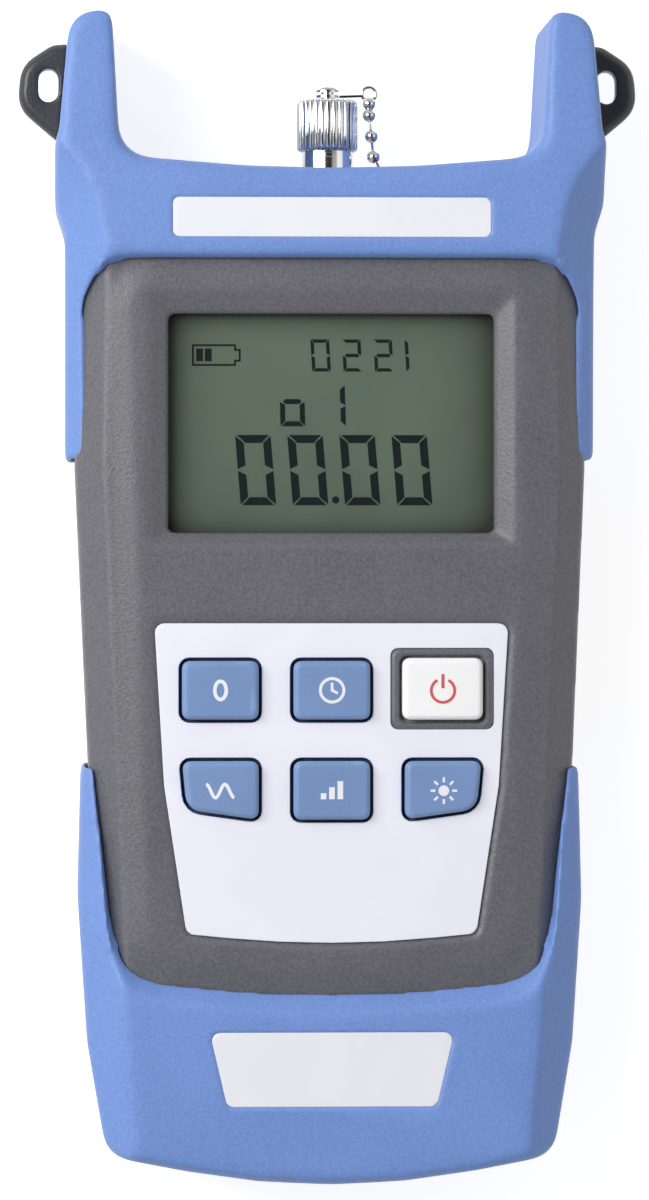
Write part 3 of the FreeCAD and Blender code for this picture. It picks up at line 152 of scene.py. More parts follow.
def rounded_all_over(name, node, cell, rounds, kept, firm=None, change=None):
    """A node's form with every edge melted into a round; where firm(place) holds, only a little.

    cell is the new mesh's step in mm, rounds says how far it melts, and kept is the share of its
    faces that stays. change(bm) may alter the form first.
    """
    obj = mesh_object(name, merged_copy(node, COARSE_WELD, change))
    skin = obj.modifiers.new("even skin", "REMESH")
    skin.mode = "VOXEL"
    skin.voxel_size = cell * MM
    skin.use_smooth_shade = True
    obj = made_plain(obj)
    group = obj.vertex_groups.new(name="soft")
    group.add([v.index for v in obj.data.vertices if not (firm and firm(v.co / MM))], 1, "REPLACE")
    evened = obj.modifiers.new("evened", "SMOOTH")
    evened.factor = SMOOTH_SHARE
    evened.iterations = EVENING_ROUNDS
    melted = obj.modifiers.new("melted", "SMOOTH")
    melted.factor = SMOOTH_SHARE
    melted.iterations = rounds - EVENING_ROUNDS
    melted.vertex_group = "soft"
    thinned = obj.modifiers.new("fewer faces", "DECIMATE")
    thinned.ratio = kept
    return made_plain(obj)


def prism(bm, points, low, high):
    """A flat shape given in mm, raised from low to high."""
    base = [bm.verts.new(Vector((x, y, low)) * MM) for x, y in points]
    roof = [bm.verts.new(Vector((x, y, high)) * MM) for x, y in points]
    bm.faces.new(base[::-1])
    bm.faces.new(roof)
    for i in range(len(points)):
        j = (i + 1) % len(points)
        bm.faces.new((base[i], base[j], roof[j], roof[i]))


MITRE_LIMIT = 0.3  # a mitred joint is no wider than the stroke over this


def ribbon(bm, line, width, low, high, closed=False):
    """A raised stroke of even width along a line of (x, y), with mitred joints."""
    count = len(line)
    left, right = [], []
    for i in range(count):
        before = line[i - 1] if (i > 0 or closed) else line[i]
        after = line[(i + 1) % count] if (i < count - 1 or closed) else line[i]
        here = Vector(line[i])
        a = (here - Vector(before)).normalized() if Vector(before) != here else None
        b = (Vector(after) - here).normalized() if Vector(after) != here else None
        a = a or b
        b = b or a
        along = (a + b).normalized()
        across = Vector((-along.y, along.x))
        reach = width / 2 / max(MITRE_LIMIT, along.dot(a))
        left.append(here + across * reach)
        right.append(here - across * reach)
    if not closed:
        prism(bm, [tuple(p) for p in left + right[::-1]], low, high)
        return
    rings = []
    for points, z in ((left, low), (left, high), (right, high), (right, low)):
        rings.append([bm.verts.new(Vector((p.x, p.y, z)) * MM) for p in points])
    for k in range(4):
        first, second = rings[k], rings[(k + 1) % 4]
        for i in range(count):
            j = (i + 1) % count
            bm.faces.new((first[i], first[j], second[j], second[i]))


ARC_POINTS = 28           # points of an arc or ring, unless it says otherwise
ON_AXIS = 1e-6            # a radius below this is a point on the axis


def circle_line(x, y, radius, start_deg=0, end_deg=360, count=ARC_POINTS):
    """Points along an arc; a full turn leaves out its last point."""
    full = abs(end_deg - start_deg) >= 360
    steps = count if full else count - 1
    angles = [math.radians(start_deg + (end_deg - start_deg) * i / steps) for i in range(count)]
    return [(x + radius * math.cos(a), y + radius * math.sin(a)) for a in angles]


def turned(bm, profile, centre, sides, radius_at=None):
    """A body turned round Y through centre, from a closed profile of (radius, y) in mm.

    radius_at(radius, turn) may alter the radius round the turn, as flutes do.
    """
    cx, cz = centre
    rings = []
    for radius, y in profile:
        if radius < ON_AXIS:
            rings.append([bm.verts.new(Vector((cx, y, cz)) * MM)] * sides)
            continue
        ring = []
        for i in range(sides):
            turn = 2 * math.pi * i / sides
            r = radius_at(radius, turn) if radius_at else radius
            ring.append(bm.verts.new(Vector((cx + r * math.cos(turn), y, cz + r * math.sin(turn))) * MM))
        rings.append(ring)
    for k in range(len(rings)):
        first, second = rings[k], rings[(k + 1) % len(rings)]
        for i in range(sides):
            j = (i + 1) % sides
            corners = []
            for vert in (first[i], first[j], second[j], second[i]):
                if vert not in corners:
                    corners.append(vert)
            if len(corners) > 2:
                bm.faces.new(corners)


# ---------------------------------------------------------------- repeated pieces
def new_tree(name, sizes):
    """A geometry tree with an input for the points and one for each named size."""
    tree = bpy.data.node_groups.new(name, "GeometryNodeTree")
    tree.interface.new_socket("Geometry", in_out="INPUT", socket_type="NodeSocketGeometry")
    for size in sizes:
        tree.interface.new_socket(size, in_out="INPUT", socket_type="NodeSocketFloat")
    tree.interface.new_socket("Finish", in_out="INPUT", socket_type="NodeSocketMaterial")
    tree.interface.new_socket("Geometry", in_out="OUTPUT", socket_type="NodeSocketGeometry")
    source = tree.nodes.new("NodeGroupInput")
    return tree, source


def close_tree(tree, source, geometry):
    """Ends a tree in Realize Instances and Set Material."""
    join = tree.links.new
    realize = tree.nodes.new("GeometryNodeRealizeInstances")
    dress = tree.nodes.new("GeometryNodeSetMaterial")
    end = tree.nodes.new("NodeGroupOutput")
    join(geometry, realize.inputs["Geometry"])
    join(realize.outputs["Geometry"], dress.inputs["Geometry"])
    join(source.outputs["Finish"], dress.inputs["Material"])
    join(dress.outputs["Geometry"], end.inputs["Geometry"])
    return tree


def new_node(tree, kind, **values):
    """A node with values on its inputs, whose names have _ in place of a space."""
    node = tree.nodes.new(kind)
    for label, value in values.items():
        node.inputs[label.replace("_", " ")].default_value = value
    return node


def maths(tree, operation, a, b):
    """A Math node of two terms, each a socket or a number."""
    node = tree.nodes.new("ShaderNodeMath")
    node.operation = operation
    for socket, term in zip(node.inputs, (a, b)):
        if isinstance(term, (int, float)):
            socket.default_value = term
        else:
            tree.links.new(term, socket)
    return node.outputs[0]


def screw_head_tree():
    """A round head with a cross cut in its face, set on every point; the face looks down -Z."""
    tree, source = new_tree(
        "screw heads", ("Head Radius", "Head Height", "Cross Length", "Cross Width", "Cross Depth"))
    join = tree.links.new
    head = new_node(tree, "GeometryNodeMeshCylinder", Vertices=28)
    join(source.outputs["Head Radius"], head.inputs["Radius"])
    join(source.outputs["Head Height"], head.inputs["Depth"])
    cutters = tree.nodes.new("GeometryNodeJoinGeometry")
    for swap in (False, True):
        bar = tree.nodes.new("GeometryNodeMeshCube")
        size = tree.nodes.new("ShaderNodeCombineXYZ")
        join(source.outputs["Cross Length"], size.inputs["Y" if swap else "X"])
        join(source.outputs["Cross Width"], size.inputs["X" if swap else "Y"])
        join(maths(tree, "MULTIPLY", source.outputs["Cross Depth"], 2.0), size.inputs["Z"])
        join(size.outputs[0], bar.inputs["Size"])
        join(bar.outputs["Mesh"], cutters.inputs["Geometry"])
    drop = tree.nodes.new("ShaderNodeCombineXYZ")
    join(maths(tree, "MULTIPLY", source.outputs["Head Height"], -0.5), drop.inputs["Z"])
    lower = tree.nodes.new("GeometryNodeTransform")
    join(cutters.outputs["Geometry"], lower.inputs["Geometry"])
    join(drop.outputs[0], lower.inputs["Translation"])
    cut = tree.nodes.new("GeometryNodeMeshBoolean")
    cut.operation = "DIFFERENCE"
    join(head.outputs["Mesh"], cut.inputs["Mesh 1"])
    join(lower.outputs["Geometry"], cut.inputs["Mesh 2"])
    place = tree.nodes.new("GeometryNodeInstanceOnPoints")
    join(source.outputs["Geometry"], place.inputs["Points"])
    join(cut.outputs["Mesh"], place.inputs["Instance"])
    return close_tree(tree, source, place.outputs["Instances"])


def bead_chain_tree():
    """Balls on the points of a line, with a thin link along it."""
    tree, source = new_tree("bead chain", ("Ball Radius", "Link Radius"))
    join = tree.links.new
    ball = new_node(tree, "GeometryNodeMeshUVSphere", Segments=24, Rings=14)
    join(source.outputs["Ball Radius"], ball.inputs["Radius"])
    smooth = tree.nodes.new("GeometryNodeSetShadeSmooth")
    join(ball.outputs["Mesh"], smooth.inputs["Geometry"])
    balls = tree.nodes.new("GeometryNodeInstanceOnPoints")
    join(source.outputs["Geometry"], balls.inputs["Points"])
    join(smooth.outputs["Geometry"], balls.inputs["Instance"])
    line = tree.nodes.new("GeometryNodeMeshToCurve")
    join(source.outputs["Geometry"], line.inputs["Mesh"])
    ring = new_node(tree, "GeometryNodeCurvePrimitiveCircle", Resolution=8)
    join(source.outputs["Link Radius"], ring.inputs["Radius"])
    link = new_node(tree, "GeometryNodeCurveToMesh", Fill_Caps=True)
    join(line.outputs["Curve"], link.inputs["Curve"])
    join(ring.outputs["Curve"], link.inputs["Profile Curve"])
    both = tree.nodes.new("GeometryNodeJoinGeometry")
    join(link.outputs["Mesh"], both.inputs["Geometry"])
    join(balls.outputs["Instances"], both.inputs["Geometry"])
    return close_tree(tree, source, both.outputs["Geometry"])


def thread_tree():
    """A screw thread wound round Y from the one point that it is given."""
    tree, source = new_tree("fine thread", ("Thread Radius", "Ridge Radius", "Length", "Pitch"))
    join = tree.links.new
    helix = new_node(tree, "GeometryNodeCurveSpiral", Resolution=48)
    turns = maths(tree, "DIVIDE", source.outputs["Length"], source.outputs["Pitch"])
    join(turns, helix.inputs["Rotations"])
    join(source.outputs["Thread Radius"], helix.inputs["Start Radius"])
    join(source.outputs["Thread Radius"], helix.inputs["End Radius"])
    join(source.outputs["Length"], helix.inputs["Height"])
    ridge = new_node(tree, "GeometryNodeCurvePrimitiveCircle", Resolution=6)
    join(source.outputs["Ridge Radius"], ridge.inputs["Radius"])
    wound = new_node(tree, "GeometryNodeCurveToMesh", Fill_Caps=True)
    join(helix.outputs["Curve"], wound.inputs["Curve"])
    join(ridge.outputs["Curve"], wound.inputs["Profile Curve"])
    lay = new_node(tree, "GeometryNodeTransform", Rotation=(math.radians(-90), 0, 0))
    join(wound.outputs["Mesh"], lay.inputs["Geometry"])
    place = tree.nodes.new("GeometryNodeInstanceOnPoints")
    join(source.outputs["Geometry"], place.inputs["Points"])
    join(lay.outputs["Geometry"], place.inputs["Instance"])
    return close_tree(tree, source, place.outputs["Instances"])


def grown(name, tree, places, sizes, finish, joined=False):
    """A plain mesh grown by a geometry tree on the given places (mm), which a line may join."""
    mesh = bpy.data.meshes.new(name)
    edges = [(i, i + 1) for i in range(len(places) - 1)] if joined else []
    mesh.from_pydata([Vector(p) * MM for p in places], edges, [])
    obj = bpy.data.objects.new(name, mesh)
    bpy.context.scene.collection.objects.link(obj)
    modifier = obj.modifiers.new("grown", "NODES")
    modifier.node_group = tree
    for item in tree.interface.items_tree:
        if item.in_out == "INPUT" and item.name in sizes:
            modifier[item.identifier] = sizes[item.name] * MM
        if item.in_out == "INPUT" and item.name == "Finish":
            modifier[item.identifier] = finish
    return made_plain(obj)


# ---------------------------------------------------------------- shared surface effects
def shader_group(name, inputs, outputs):
    """An empty shader group with named inputs (name, value) and outputs."""
    group = bpy.data.node_groups.new(name, "ShaderNodeTree")
    for label, value in inputs:
        socket = group.interface.new_socket(label, in_out="INPUT", socket_type="NodeSocketFloat")
        socket.default_value = value
    for label in outputs:
        group.interface.new_socket(label, in_out="OUTPUT", socket_type="NodeSocketFloat")
    return group, group.nodes.new("NodeGroupInput"), group.nodes.new("NodeGroupOutput")


def moulded_grain_group():
    """Fine spark-eroded texture of a mould, with a slow unevenness over the surface."""
    group, source, end = shader_group(
        "moulded grain", [("Grain Scale", 2600.0), ("Uneven Scale", 70.0)], ["Height", "Mottle", "Speckle"])
    nodes, links = group.nodes, group.links
    place = nodes.new("ShaderNodeTexCoord").outputs["Object"]
    fine = new_node(group, "ShaderNodeTexNoise", Detail=3.0, Roughness=0.65)
    pits = nodes.new("ShaderNodeTexVoronoi")
    pits.feature = "SMOOTH_F1"
    slow = new_node(group, "ShaderNodeTexNoise", Detail=3.0)
    for node in (fine, pits, slow):
        links.new(place, node.inputs["Vector"])
    links.new(source.outputs["Grain Scale"], fine.inputs["Scale"])
    links.new(source.outputs["Grain Scale"], pits.inputs["Scale"])
    links.new(source.outputs["Uneven Scale"], slow.inputs["Scale"])
    height = maths(group, "MULTIPLY_ADD", pits.outputs["Distance"], 0.6)
    links.new(fine.outputs["Fac"], height.node.inputs[2])
    links.new(height, end.inputs["Height"])
    mottle = new_node(group, "ShaderNodeMapRange", From_Min=0.3, From_Max=0.7)
    links.new(slow.outputs["Fac"], mottle.inputs["Value"])
    links.new(mottle.outputs["Result"], end.inputs["Mottle"])
    speckle = new_node(group, "ShaderNodeMapRange", From_Min=0.36, From_Max=0.64)
    links.new(fine.outputs["Fac"], speckle.inputs["Value"])
    links.new(speckle.outputs["Result"], end.inputs["Speckle"])
    return group


FLAT_POINTINESS = 0.5  # what Pointiness gives on a flat face


def painted_edge_highlight_group():
    """Painted highlight where edges stand proud: a broken mask along them."""
    group, source, end = shader_group("painted edge highlight", [("Sharpness", 0.06), ("Break Scale", 260.0)], ["Mask"])
    nodes, links = group.nodes, group.links
    shape = nodes.new("ShaderNodeNewGeometry")
    place = nodes.new("ShaderNodeTexCoord").outputs["Object"]
    breaks = new_node(group, "ShaderNodeTexNoise", Detail=4.0)
    links.new(place, breaks.inputs["Vector"])
    links.new(source.outputs["Break Scale"], breaks.inputs["Scale"])
    proud = new_node(group, "ShaderNodeMapRange", From_Min=FLAT_POINTINESS)
    links.new(shape.outputs["Pointiness"], proud.inputs["Value"])
    links.new(maths(group, "ADD", source.outputs["Sharpness"], FLAT_POINTINESS), proud.inputs["From Max"])
    links.new(maths(group, "MULTIPLY", proud.outputs["Result"], breaks.outputs["Fac"]), end.inputs["Mask"])
    return group


def handling_marks_group():
    """Faint wipes and finger marks that change the gloss of smooth surfaces."""
    group, source, end = shader_group(
        "handling marks", [("Mark Scale", 55.0), ("Streak Scale", 900.0)], ["Marks", "Streaks"])
    nodes, links = group.nodes, group.links
    place = nodes.new("ShaderNodeTexCoord").outputs["Object"]
    smears = new_node(group, "ShaderNodeTexNoise", Detail=5.0, Distortion=1.2)
    links.new(place, smears.inputs["Vector"])
    links.new(source.outputs["Mark Scale"], smears.inputs["Scale"])
    marks = new_node(group, "ShaderNodeMapRange", From_Min=0.42, From_Max=0.68)
    links.new(smears.outputs["Fac"], marks.inputs["Value"])
    links.new(marks.outputs["Result"], end.inputs["Marks"])
    stretch = new_node(group, "ShaderNodeMapping", Scale=(1.0, 0.04, 1.0))
    streaks = new_node(group, "ShaderNodeTexNoise", Detail=2.0)
    links.new(place, stretch.inputs["Vector"])
    links.new(stretch.outputs["Vector"], streaks.inputs["Vector"])
    links.new(source.outputs["Streak Scale"], streaks.inputs["Scale"])
    links.new(streaks.outputs["Fac"], end.inputs["Streaks"])
    return group


GRAIN = moulded_grain_group()
# painted highlight on proud edges, shared by the moulded finishes
EDGE_HIGHLIGHT = painted_edge_highlight_group()
MARKS = handling_marks_group()


class Finish:
    """A material under construction: its Principled shader and short ways to feed it."""

    def __init__(self, name, roughness=0.5, metallic=0.0, **sockets):
        self.material = bpy.data.materials.new(name)
        self.material.use_nodes = True
        self.tree = self.material.node_tree
        self.nodes = self.tree.nodes
        self.links = self.tree.links
        self.shader = self.nodes["Principled BSDF"]
        self.set("Roughness", roughness)
        self.set("Metallic", metallic)
        for label, value in sockets.items():
            self.set(label.replace("_", " "), value)

    def set(self, label, value):
        self.shader.inputs[label].default_value = value

    def group(self, tree, **values):
        """One of the shared groups, with values on its inputs."""
        node = self.nodes.new("ShaderNodeGroup")
        node.node_tree = tree
        for label, value in values.items():
            node.inputs[label.replace("_", " ")].default_value = value
        return node

    def blended(self, low, high, mask):
        """Colour from low to high over a mask; either may be a socket."""
        mix = self.nodes.new("ShaderNodeMix")
        mix.data_type = "RGBA"
        for socket, colour in ((mix.inputs[6], low), (mix.inputs[7], high)):
            if isinstance(colour, tuple):
                socket.default_value = (*colour, 1.0)
            else:
                self.links.new(colour, socket)
        self.links.new(mask, mix.inputs[0])
        return mix.outputs[2]

    def ranged(self, mask, low, high):
        """A value from low to high over a mask."""
        node = new_node(self.tree, "ShaderNodeMapRange", To_Min=low, To_Max=high)
        self.links.new(mask, node.inputs["Value"])
        return node.outputs["Result"]

    def feed(self, label, socket):
        self.links.new(socket, self.shader.inputs[label])

    def bumped(self, height, strength, depth):
        bump = new_node(self.tree, "ShaderNodeBump", Strength=strength, Distance=depth * MM)
        self.links.new(height, bump.inputs["Height"])
        self.feed("Normal", bump.outputs["Normal"])


def scaled(colour, factor):
    return tuple(min(1.0, channel * factor) for channel in colour)


UNEVEN_DARK, UNEVEN_LIGHT = 0.94, 1.06    # slow change of a moulded colour over the surface
UNEVEN_SHARE = 0.4                        # how much of it there is beside the grain
EDGE_HIGHLIGHT_GAIN = 1.6                        # how much lighter the painted edge highlight is


def moulded(name, colour, roughness, grain=2600.0, depth=0.05, contrast=0.10, edge_highlight=0.35):
    """A moulded plastic or rubber: grain, slow unevenness and a painted highlight on proud edges."""
    finish = Finish(name, roughness)
    texture = finish.group(GRAIN, Grain_Scale=grain)
    dark, light = scaled(colour, 1 - contrast), scaled(colour, 1 + contrast)
    even = finish.blended(dark, light, texture.outputs["Speckle"])
    dark, light = scaled(colour, UNEVEN_DARK), scaled(colour, UNEVEN_LIGHT)
    slow = finish.blended(dark, light, texture.outputs["Mottle"])
    mix = finish.nodes.new("ShaderNodeMix")
    mix.data_type = "RGBA"
    mix.inputs[0].default_value = UNEVEN_SHARE
    finish.links.new(even, mix.inputs[6])
    finish.links.new(slow, mix.inputs[7])
    # painted highlight: proud edges made lighter, standing in for light catching them
    edge = finish.group(EDGE_HIGHLIGHT)
    highlighted_edges = finish.ranged(edge.outputs["Mask"], 0.0, edge_highlight)
    finish.feed("Base Color", finish.blended(mix.outputs[2], scaled(colour, EDGE_HIGHLIGHT_GAIN), highlighted_edges))
    finish.feed("Roughness", finish.ranged(texture.outputs["Mottle"], roughness - 0.05, roughness + 0.06))
    finish.bumped(texture.outputs["Height"], 0.5, depth)
    return finish.material


def smooth_plastic(name, colour, roughness, **sockets):
    """A smooth printed or polished plastic with faint handling marks."""
    finish = Finish(name, roughness, **sockets)
    marks = finish.group(MARKS)
    dull, clean = scaled(colour, 0.985), scaled(colour, 1.01)
    finish.feed("Base Color", finish.blended(dull, clean, marks.outputs["Marks"]))
    finish.feed("Roughness", finish.ranged(marks.outputs["Marks"], roughness - 0.04, roughness + 0.07))
    texture = finish.group(GRAIN, Grain_Scale=1800.0)
    finish.bumped(texture.outputs["Height"], 0.25, 0.01)
    return finish.material


def plated_metal(name, colour, roughness, streak=0.04):
    """Bright plating: fine streaks and smears in its gloss."""
    finish = Finish(name, roughness, 1.0)
    marks = finish.group(MARKS)
    dull, bright = scaled(colour, 0.93), scaled(colour, 1.03)
    finish.feed("Base Color", finish.blended(dull, bright, marks.outputs["Streaks"]))
    finish.feed("Roughness", finish.ranged(marks.outputs["Marks"], roughness, roughness + streak))
    finish.bumped(marks.outputs["Streaks"], 0.2, 0.01)
    return finish.material


def printed_ink(name, colour, roughness=0.5, gloss=0.5):
    """Ink with the slight thinness of a pad print."""
    finish = Finish(name, roughness, Specular_IOR_Level=gloss)
    texture = finish.group(GRAIN, Grain_Scale=4200.0)
    finish.feed("Base Color", finish.blended(scaled(colour, 0.92), colour, texture.outputs["Speckle"]))
    finish.bumped(texture.outputs["Height"], 0.15, 0.01)
    return finish.material


RIM_SHADE_POWER_X = 6.5         # the higher, the narrower the painted shade along the display's rim at left and right
RIM_SHADE_POWER_Y = 9.0         # the same at top and bottom


def display_glass():
    """Reflective display face: grey green, with painted shade towards the rim of its frame, standing in for
    the frame's shadow.
    """
    finish = Finish("display face", 0.6, Specular_IOR_Level=0.2)
    low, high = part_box("lcd_glass")
    middle = (low + high) / 2
    half = (high - low) / 2
    tree = finish.tree
    place = finish.nodes.new("ShaderNodeTexCoord").outputs["Object"]
    centred = new_node(tree, "ShaderNodeMapping", Location=(-middle.x / half.x, -middle.y / half.y, 0),
                       Scale=(1 / half.x, 1 / half.y, 1))
    finish.links.new(place, centred.inputs["Vector"])
    split = finish.nodes.new("ShaderNodeSeparateXYZ")
    finish.links.new(centred.outputs["Vector"], split.inputs["Vector"])
    # painted shade: a mask that grows towards the rim of the frame
    across = maths(tree, "POWER", maths(tree, "ABSOLUTE", split.outputs["X"], 0.0), RIM_SHADE_POWER_X)
    along = maths(tree, "POWER", maths(tree, "ABSOLUTE", split.outputs["Y"], 0.0), RIM_SHADE_POWER_Y)
    rim = maths(tree, "MINIMUM", maths(tree, "ADD", across, along), 1.0)
    texture = finish.group(GRAIN, Grain_Scale=1500.0, Uneven_Scale=45.0)
    face = finish.blended(LCD_DEEP, LCD_FACE, texture.outputs["Mottle"])
    # the painted shade colour laid over the rim mask
    finish.feed("Base Color", finish.blended(face, LCD_RIM_SHADE, rim))
    finish.bumped(texture.outputs["Height"], 0.1, 0.01)
    return finish.material


def clear_window():
    """Thin clear acrylic over the display."""
    finish = Finish("clear window", 0.06, IOR=1.49)
    marks = finish.group(MARKS)
    finish.set("Base Color", (0.02, 0.03, 0.02, 1.0))
    finish.feed("Alpha", finish.ranged(marks.outputs["Marks"], 0.05, 0.07))
    finish.feed("Roughness", finish.ranged(marks.outputs["Marks"], 0.04, 0.10))
    return finish.material


# ---------------------------------------------------------------- colours, linear
BOOT_BLUE = (0.165, 0.285, 0.640)
CASE_GREY = (0.128, 0.126, 0.143)
LUG_BLACK = (0.040, 0.040, 0.044)
PANEL_WHITE = (0.87, 0.87, 0.95)
LABEL_WHITE = (0.85, 0.85, 0.90)
KEY_BLUE = (0.185, 0.290, 0.525)
KEY_WHITE = (0.93, 0.93, 0.93)
LCD_FACE = (0.143, 0.197, 0.137)
LCD_DEEP = (0.112, 0.160, 0.118)
# painted shade at the display's rim, standing in for the frame's shadow
LCD_RIM_SHADE = (0.046, 0.048, 0.036)
SEGMENT_INK = (0.007, 0.013, 0.016)
POWER_RED = (0.66, 0.10, 0.11)
NICKEL = (0.80, 0.79, 0.77)
KEY_GRAIN = 3200.0

# The last keyword of a moulded finish, where given, sets its painted edge highlight.
finishes = {
    "case_plastic": moulded("grained case plastic", CASE_GREY, 0.40, grain=2300.0, depth=0.08, contrast=0.3),
    "boot_rubber": moulded("blue boot rubber", BOOT_BLUE, 0.5, depth=0.06, contrast=0.16, edge_highlight=0.25),
    "lug_plastic": moulded("dark lug plastic", LUG_BLACK, 0.36, contrast=0.2, edge_highlight=0.8),
    "label_plate": smooth_plastic("label plate", LABEL_WHITE, 0.4),
    "panel_plate": smooth_plastic("panel plate", PANEL_WHITE, 0.42),
    "key_blue": moulded("blue key plastic", KEY_BLUE, 0.4, KEY_GRAIN, 0.02, contrast=0.04, edge_highlight=0.6),
    "key_white": moulded("white key plastic", KEY_WHITE, 0.4, KEY_GRAIN, 0.02, contrast=0.02, edge_highlight=0.1),
    "clear_window": clear_window(),
    "lcd_face": display_glass(),
    "white_plastic": moulded("white frame plastic", (0.80, 0.80, 0.80), 0.5),
    "black_plastic": moulded("black component plastic", (0.018, 0.018, 0.019), 0.45),
    "black_rubber": moulded("black conductive rubber", (0.022, 0.022, 0.023), 0.6),
    "board_laminate": smooth_plastic("green solder mask", (0.015, 0.13, 0.05), 0.3, Coat_Weight=0.4),
    "screw_steel": plated_metal("zinc plated steel", (0.55, 0.55, 0.56), 0.30),
    "spring_strip": plated_metal("nickel plated strip", (0.62, 0.61, 0.58), 0.28),
    "gilt_can": plated_metal("gold plated can", (0.80, 0.60, 0.26), 0.22),
    "nickel": plated_metal("bright nickel plate", NICKEL, 0.10),
    "sleeve_ceramic": smooth_plastic("polished ceramic", (0.90, 0.89, 0.86), 0.15),
    "cell_can": smooth_plastic("plain cell wrap", (0.11, 0.12, 0.13), 0.3, Coat_Weight=0.5),
}
segment_ink = printed_ink("display segments", SEGMENT_INK, 0.7, 0.15)
legend_white = printed_ink("white legends", (0.86, 0.88, 0.92))
legend_red = printed_ink("red power sign", POWER_RED)


def dress(obj, slot, *nodes, body=None, finish=None):
    """Gives a piece its finish and body, and hides the nodes that it stands for."""
    obj.data.materials.clear()
    obj.data.materials.append(finish or finishes[slot])
    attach(obj, body or body_of_node(nodes[0]))
    if nodes:
        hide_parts(*nodes)
    return obj


# ---------------------------------------------------------------- case, boots and lugs
SCREEN_LOW, SCREEN_HIGH = (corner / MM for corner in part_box("display_window"))
LABEL_PLACES = [tuple(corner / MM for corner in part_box(label)) for label in ("top_label", "bottom_label")]

# The openings of the case, whose edges stay crisp
OPENINGS_HALF = 27.5              # half the width of the face that holds them
SCREEN_ROOM_LOW = 3.0             # crisp below the display
SCREEN_ROOM_HIGH = 3.4            # and above it
KEYPAD_FOOT, KEYPAD_TOP = -53.5, -3.0
INSIDE_Z = 24.0                   # everything below is wall and inner form

# The lips of the boots that lie on the case's shoulders
LIP_NEAR, LIP_FAR = 30.0, 34.6    # from the middle
LIP_Z = 28.5
LIP_FOOT, LIP_TOP = -52.0, 50.0
RECESS_ROOM = 0.8                 # crisp this far round a label
RECESS_DEPTH = 1.0

# The backing of the upper wings: its place along y, then its corners (x, z)
WING_TIP = (20.4, ((36.4, 27.40), (37.05, 27.42), (39.6, 24.62), (36.4, 24.62)))
WING_ROOT = (41.9, ((36.4, 27.45), (37.7, 27.45), (39.6, 25.40), (36.4, 25.40)))


def backed_wings(bm):
    """Backs the upper wings, inside the case, where their rubber runs out to nothing over its flank."""
    for side in (-1, 1):
        tip, root = ([bm.verts.new(Vector((side * x, y, z)) * MM) for x, z in corners]
                     for y, corners in (WING_TIP, WING_ROOT))
        faces = [bm.faces.new(tip), bm.faces.new(root[::-1])]
        for i in range(4):
            j = (i + 1) % 4
            faces.append(bm.faces.new((tip[j], tip[i], root[i], root[j])))
        bmesh.ops.recalc_face_normals(bm, faces=faces)


def near_an_opening(place):
    """True on the case round its display and keypad, and inside it."""
    by_screen = SCREEN_LOW.y - SCREEN_ROOM_LOW < place.y < SCREEN_HIGH.y + SCREEN_ROOM_HIGH
    by_keypad = KEYPAD_FOOT < place.y < KEYPAD_TOP
    return place.z < INSIDE_Z or (abs(place.x) < OPENINGS_HALF and (by_screen or by_keypad))


def on_thin_rubber(place):
    """True where a boot is a thin lip on the case's shoulder, and round the recess of its label."""
    if LIP_NEAR < abs(place.x) < LIP_FAR and place.z > LIP_Z and LIP_FOOT < place.y < LIP_TOP:
        return True
    for low, high in LABEL_PLACES:
        by_x = low.x - RECESS_ROOM < place.x < high.x + RECESS_ROOM
        by_y = low.y - RECESS_ROOM < place.y < high.y + RECESS_ROOM
        if by_x and by_y and place.z > low.z - RECESS_DEPTH:
            return True
    return False


RIM_DEG = 30              # an edge of the rear shell or its door that turns more is rounded
PLATE_DEG = 40            # the same on thin plates
TURNED_DEG = 50           # and on the receptacle
BACK_Z = 1.3              # the rear shell is rounded below this


def rear_edges(middle, angle):
    return 0.2 if angle > RIM_DEG and middle.z < BACK_Z else 0


def door_edges(middle, angle):
    return 0.15 if angle > RIM_DEG else 0


def plate_edges(middle, angle):
    return 0.12 if angle > PLATE_DEG else 0


front = rounded_all_over("front_case", "front_shell", 0.45, 10, 0.27, near_an_opening)
dress(front, "case_plastic", "front_shell")
dress(softened("rear_case", "rear_shell", rear_edges), "case_plastic", "rear_shell")
dress(softened("sliding_door", "battery_door", door_edges), "case_plastic", "battery_door")
for boot, node, change in (("upper_boot", "top_boot", backed_wings), ("lower_boot", "bottom_boot", None)):
    dress(rounded_all_over(boot, node, 0.35, 60, 0.28, on_thin_rubber, change), "boot_rubber", node)
for side in ("left", "right"):
    lug = "strap_lug_" + side
    dress(rounded_all_over(side + "_lug", lug, 0.25, 10, 0.4), "lug_plastic", lug)
for place_name, label in (("upper", "top_label"), ("lower", "bottom_label")):
    dress(softened(place_name + "_label_plate", label, plate_edges), "label_plate", label)


# ---------------------------------------------------------------- keypad
dress(softened("keypad_plate", "keypad_panel", plate_edges), "panel_plate", "keypad_panel")
for key in KEY_NAMES:
    node = "key_" + key
    slot = "key_white" if key == "power" else "key_blue"
    dress(rounded_all_over(key + "_key_cap", node, 0.18, 8, 0.25), slot, node)

# Each sign is drawn round (x, y), the middle of its key, from low to high; sizes in mm
LEGEND_RISE = 0.05
LEGEND_SINK = 0.02
CLOCK_RADIUS = 1.75


def sign_power(bm, x, y, low, high):
    ribbon(bm, circle_line(x, y - 0.25, CLOCK_RADIUS, 118, 422), 0.42, low, high)
    ribbon(bm, [(x, y + 2.2), (x, y + 0.1)], 0.45, low, high)


def sign_zero(bm, x, y, low, high):
    turns = [2 * math.pi * i / ARC_POINTS for i in range(ARC_POINTS)]
    oval = [(x + 0.85 * math.cos(turn), y + 1.35 * math.sin(turn)) for turn in turns]
    ribbon(bm, oval, 0.55, low, high, closed=True)


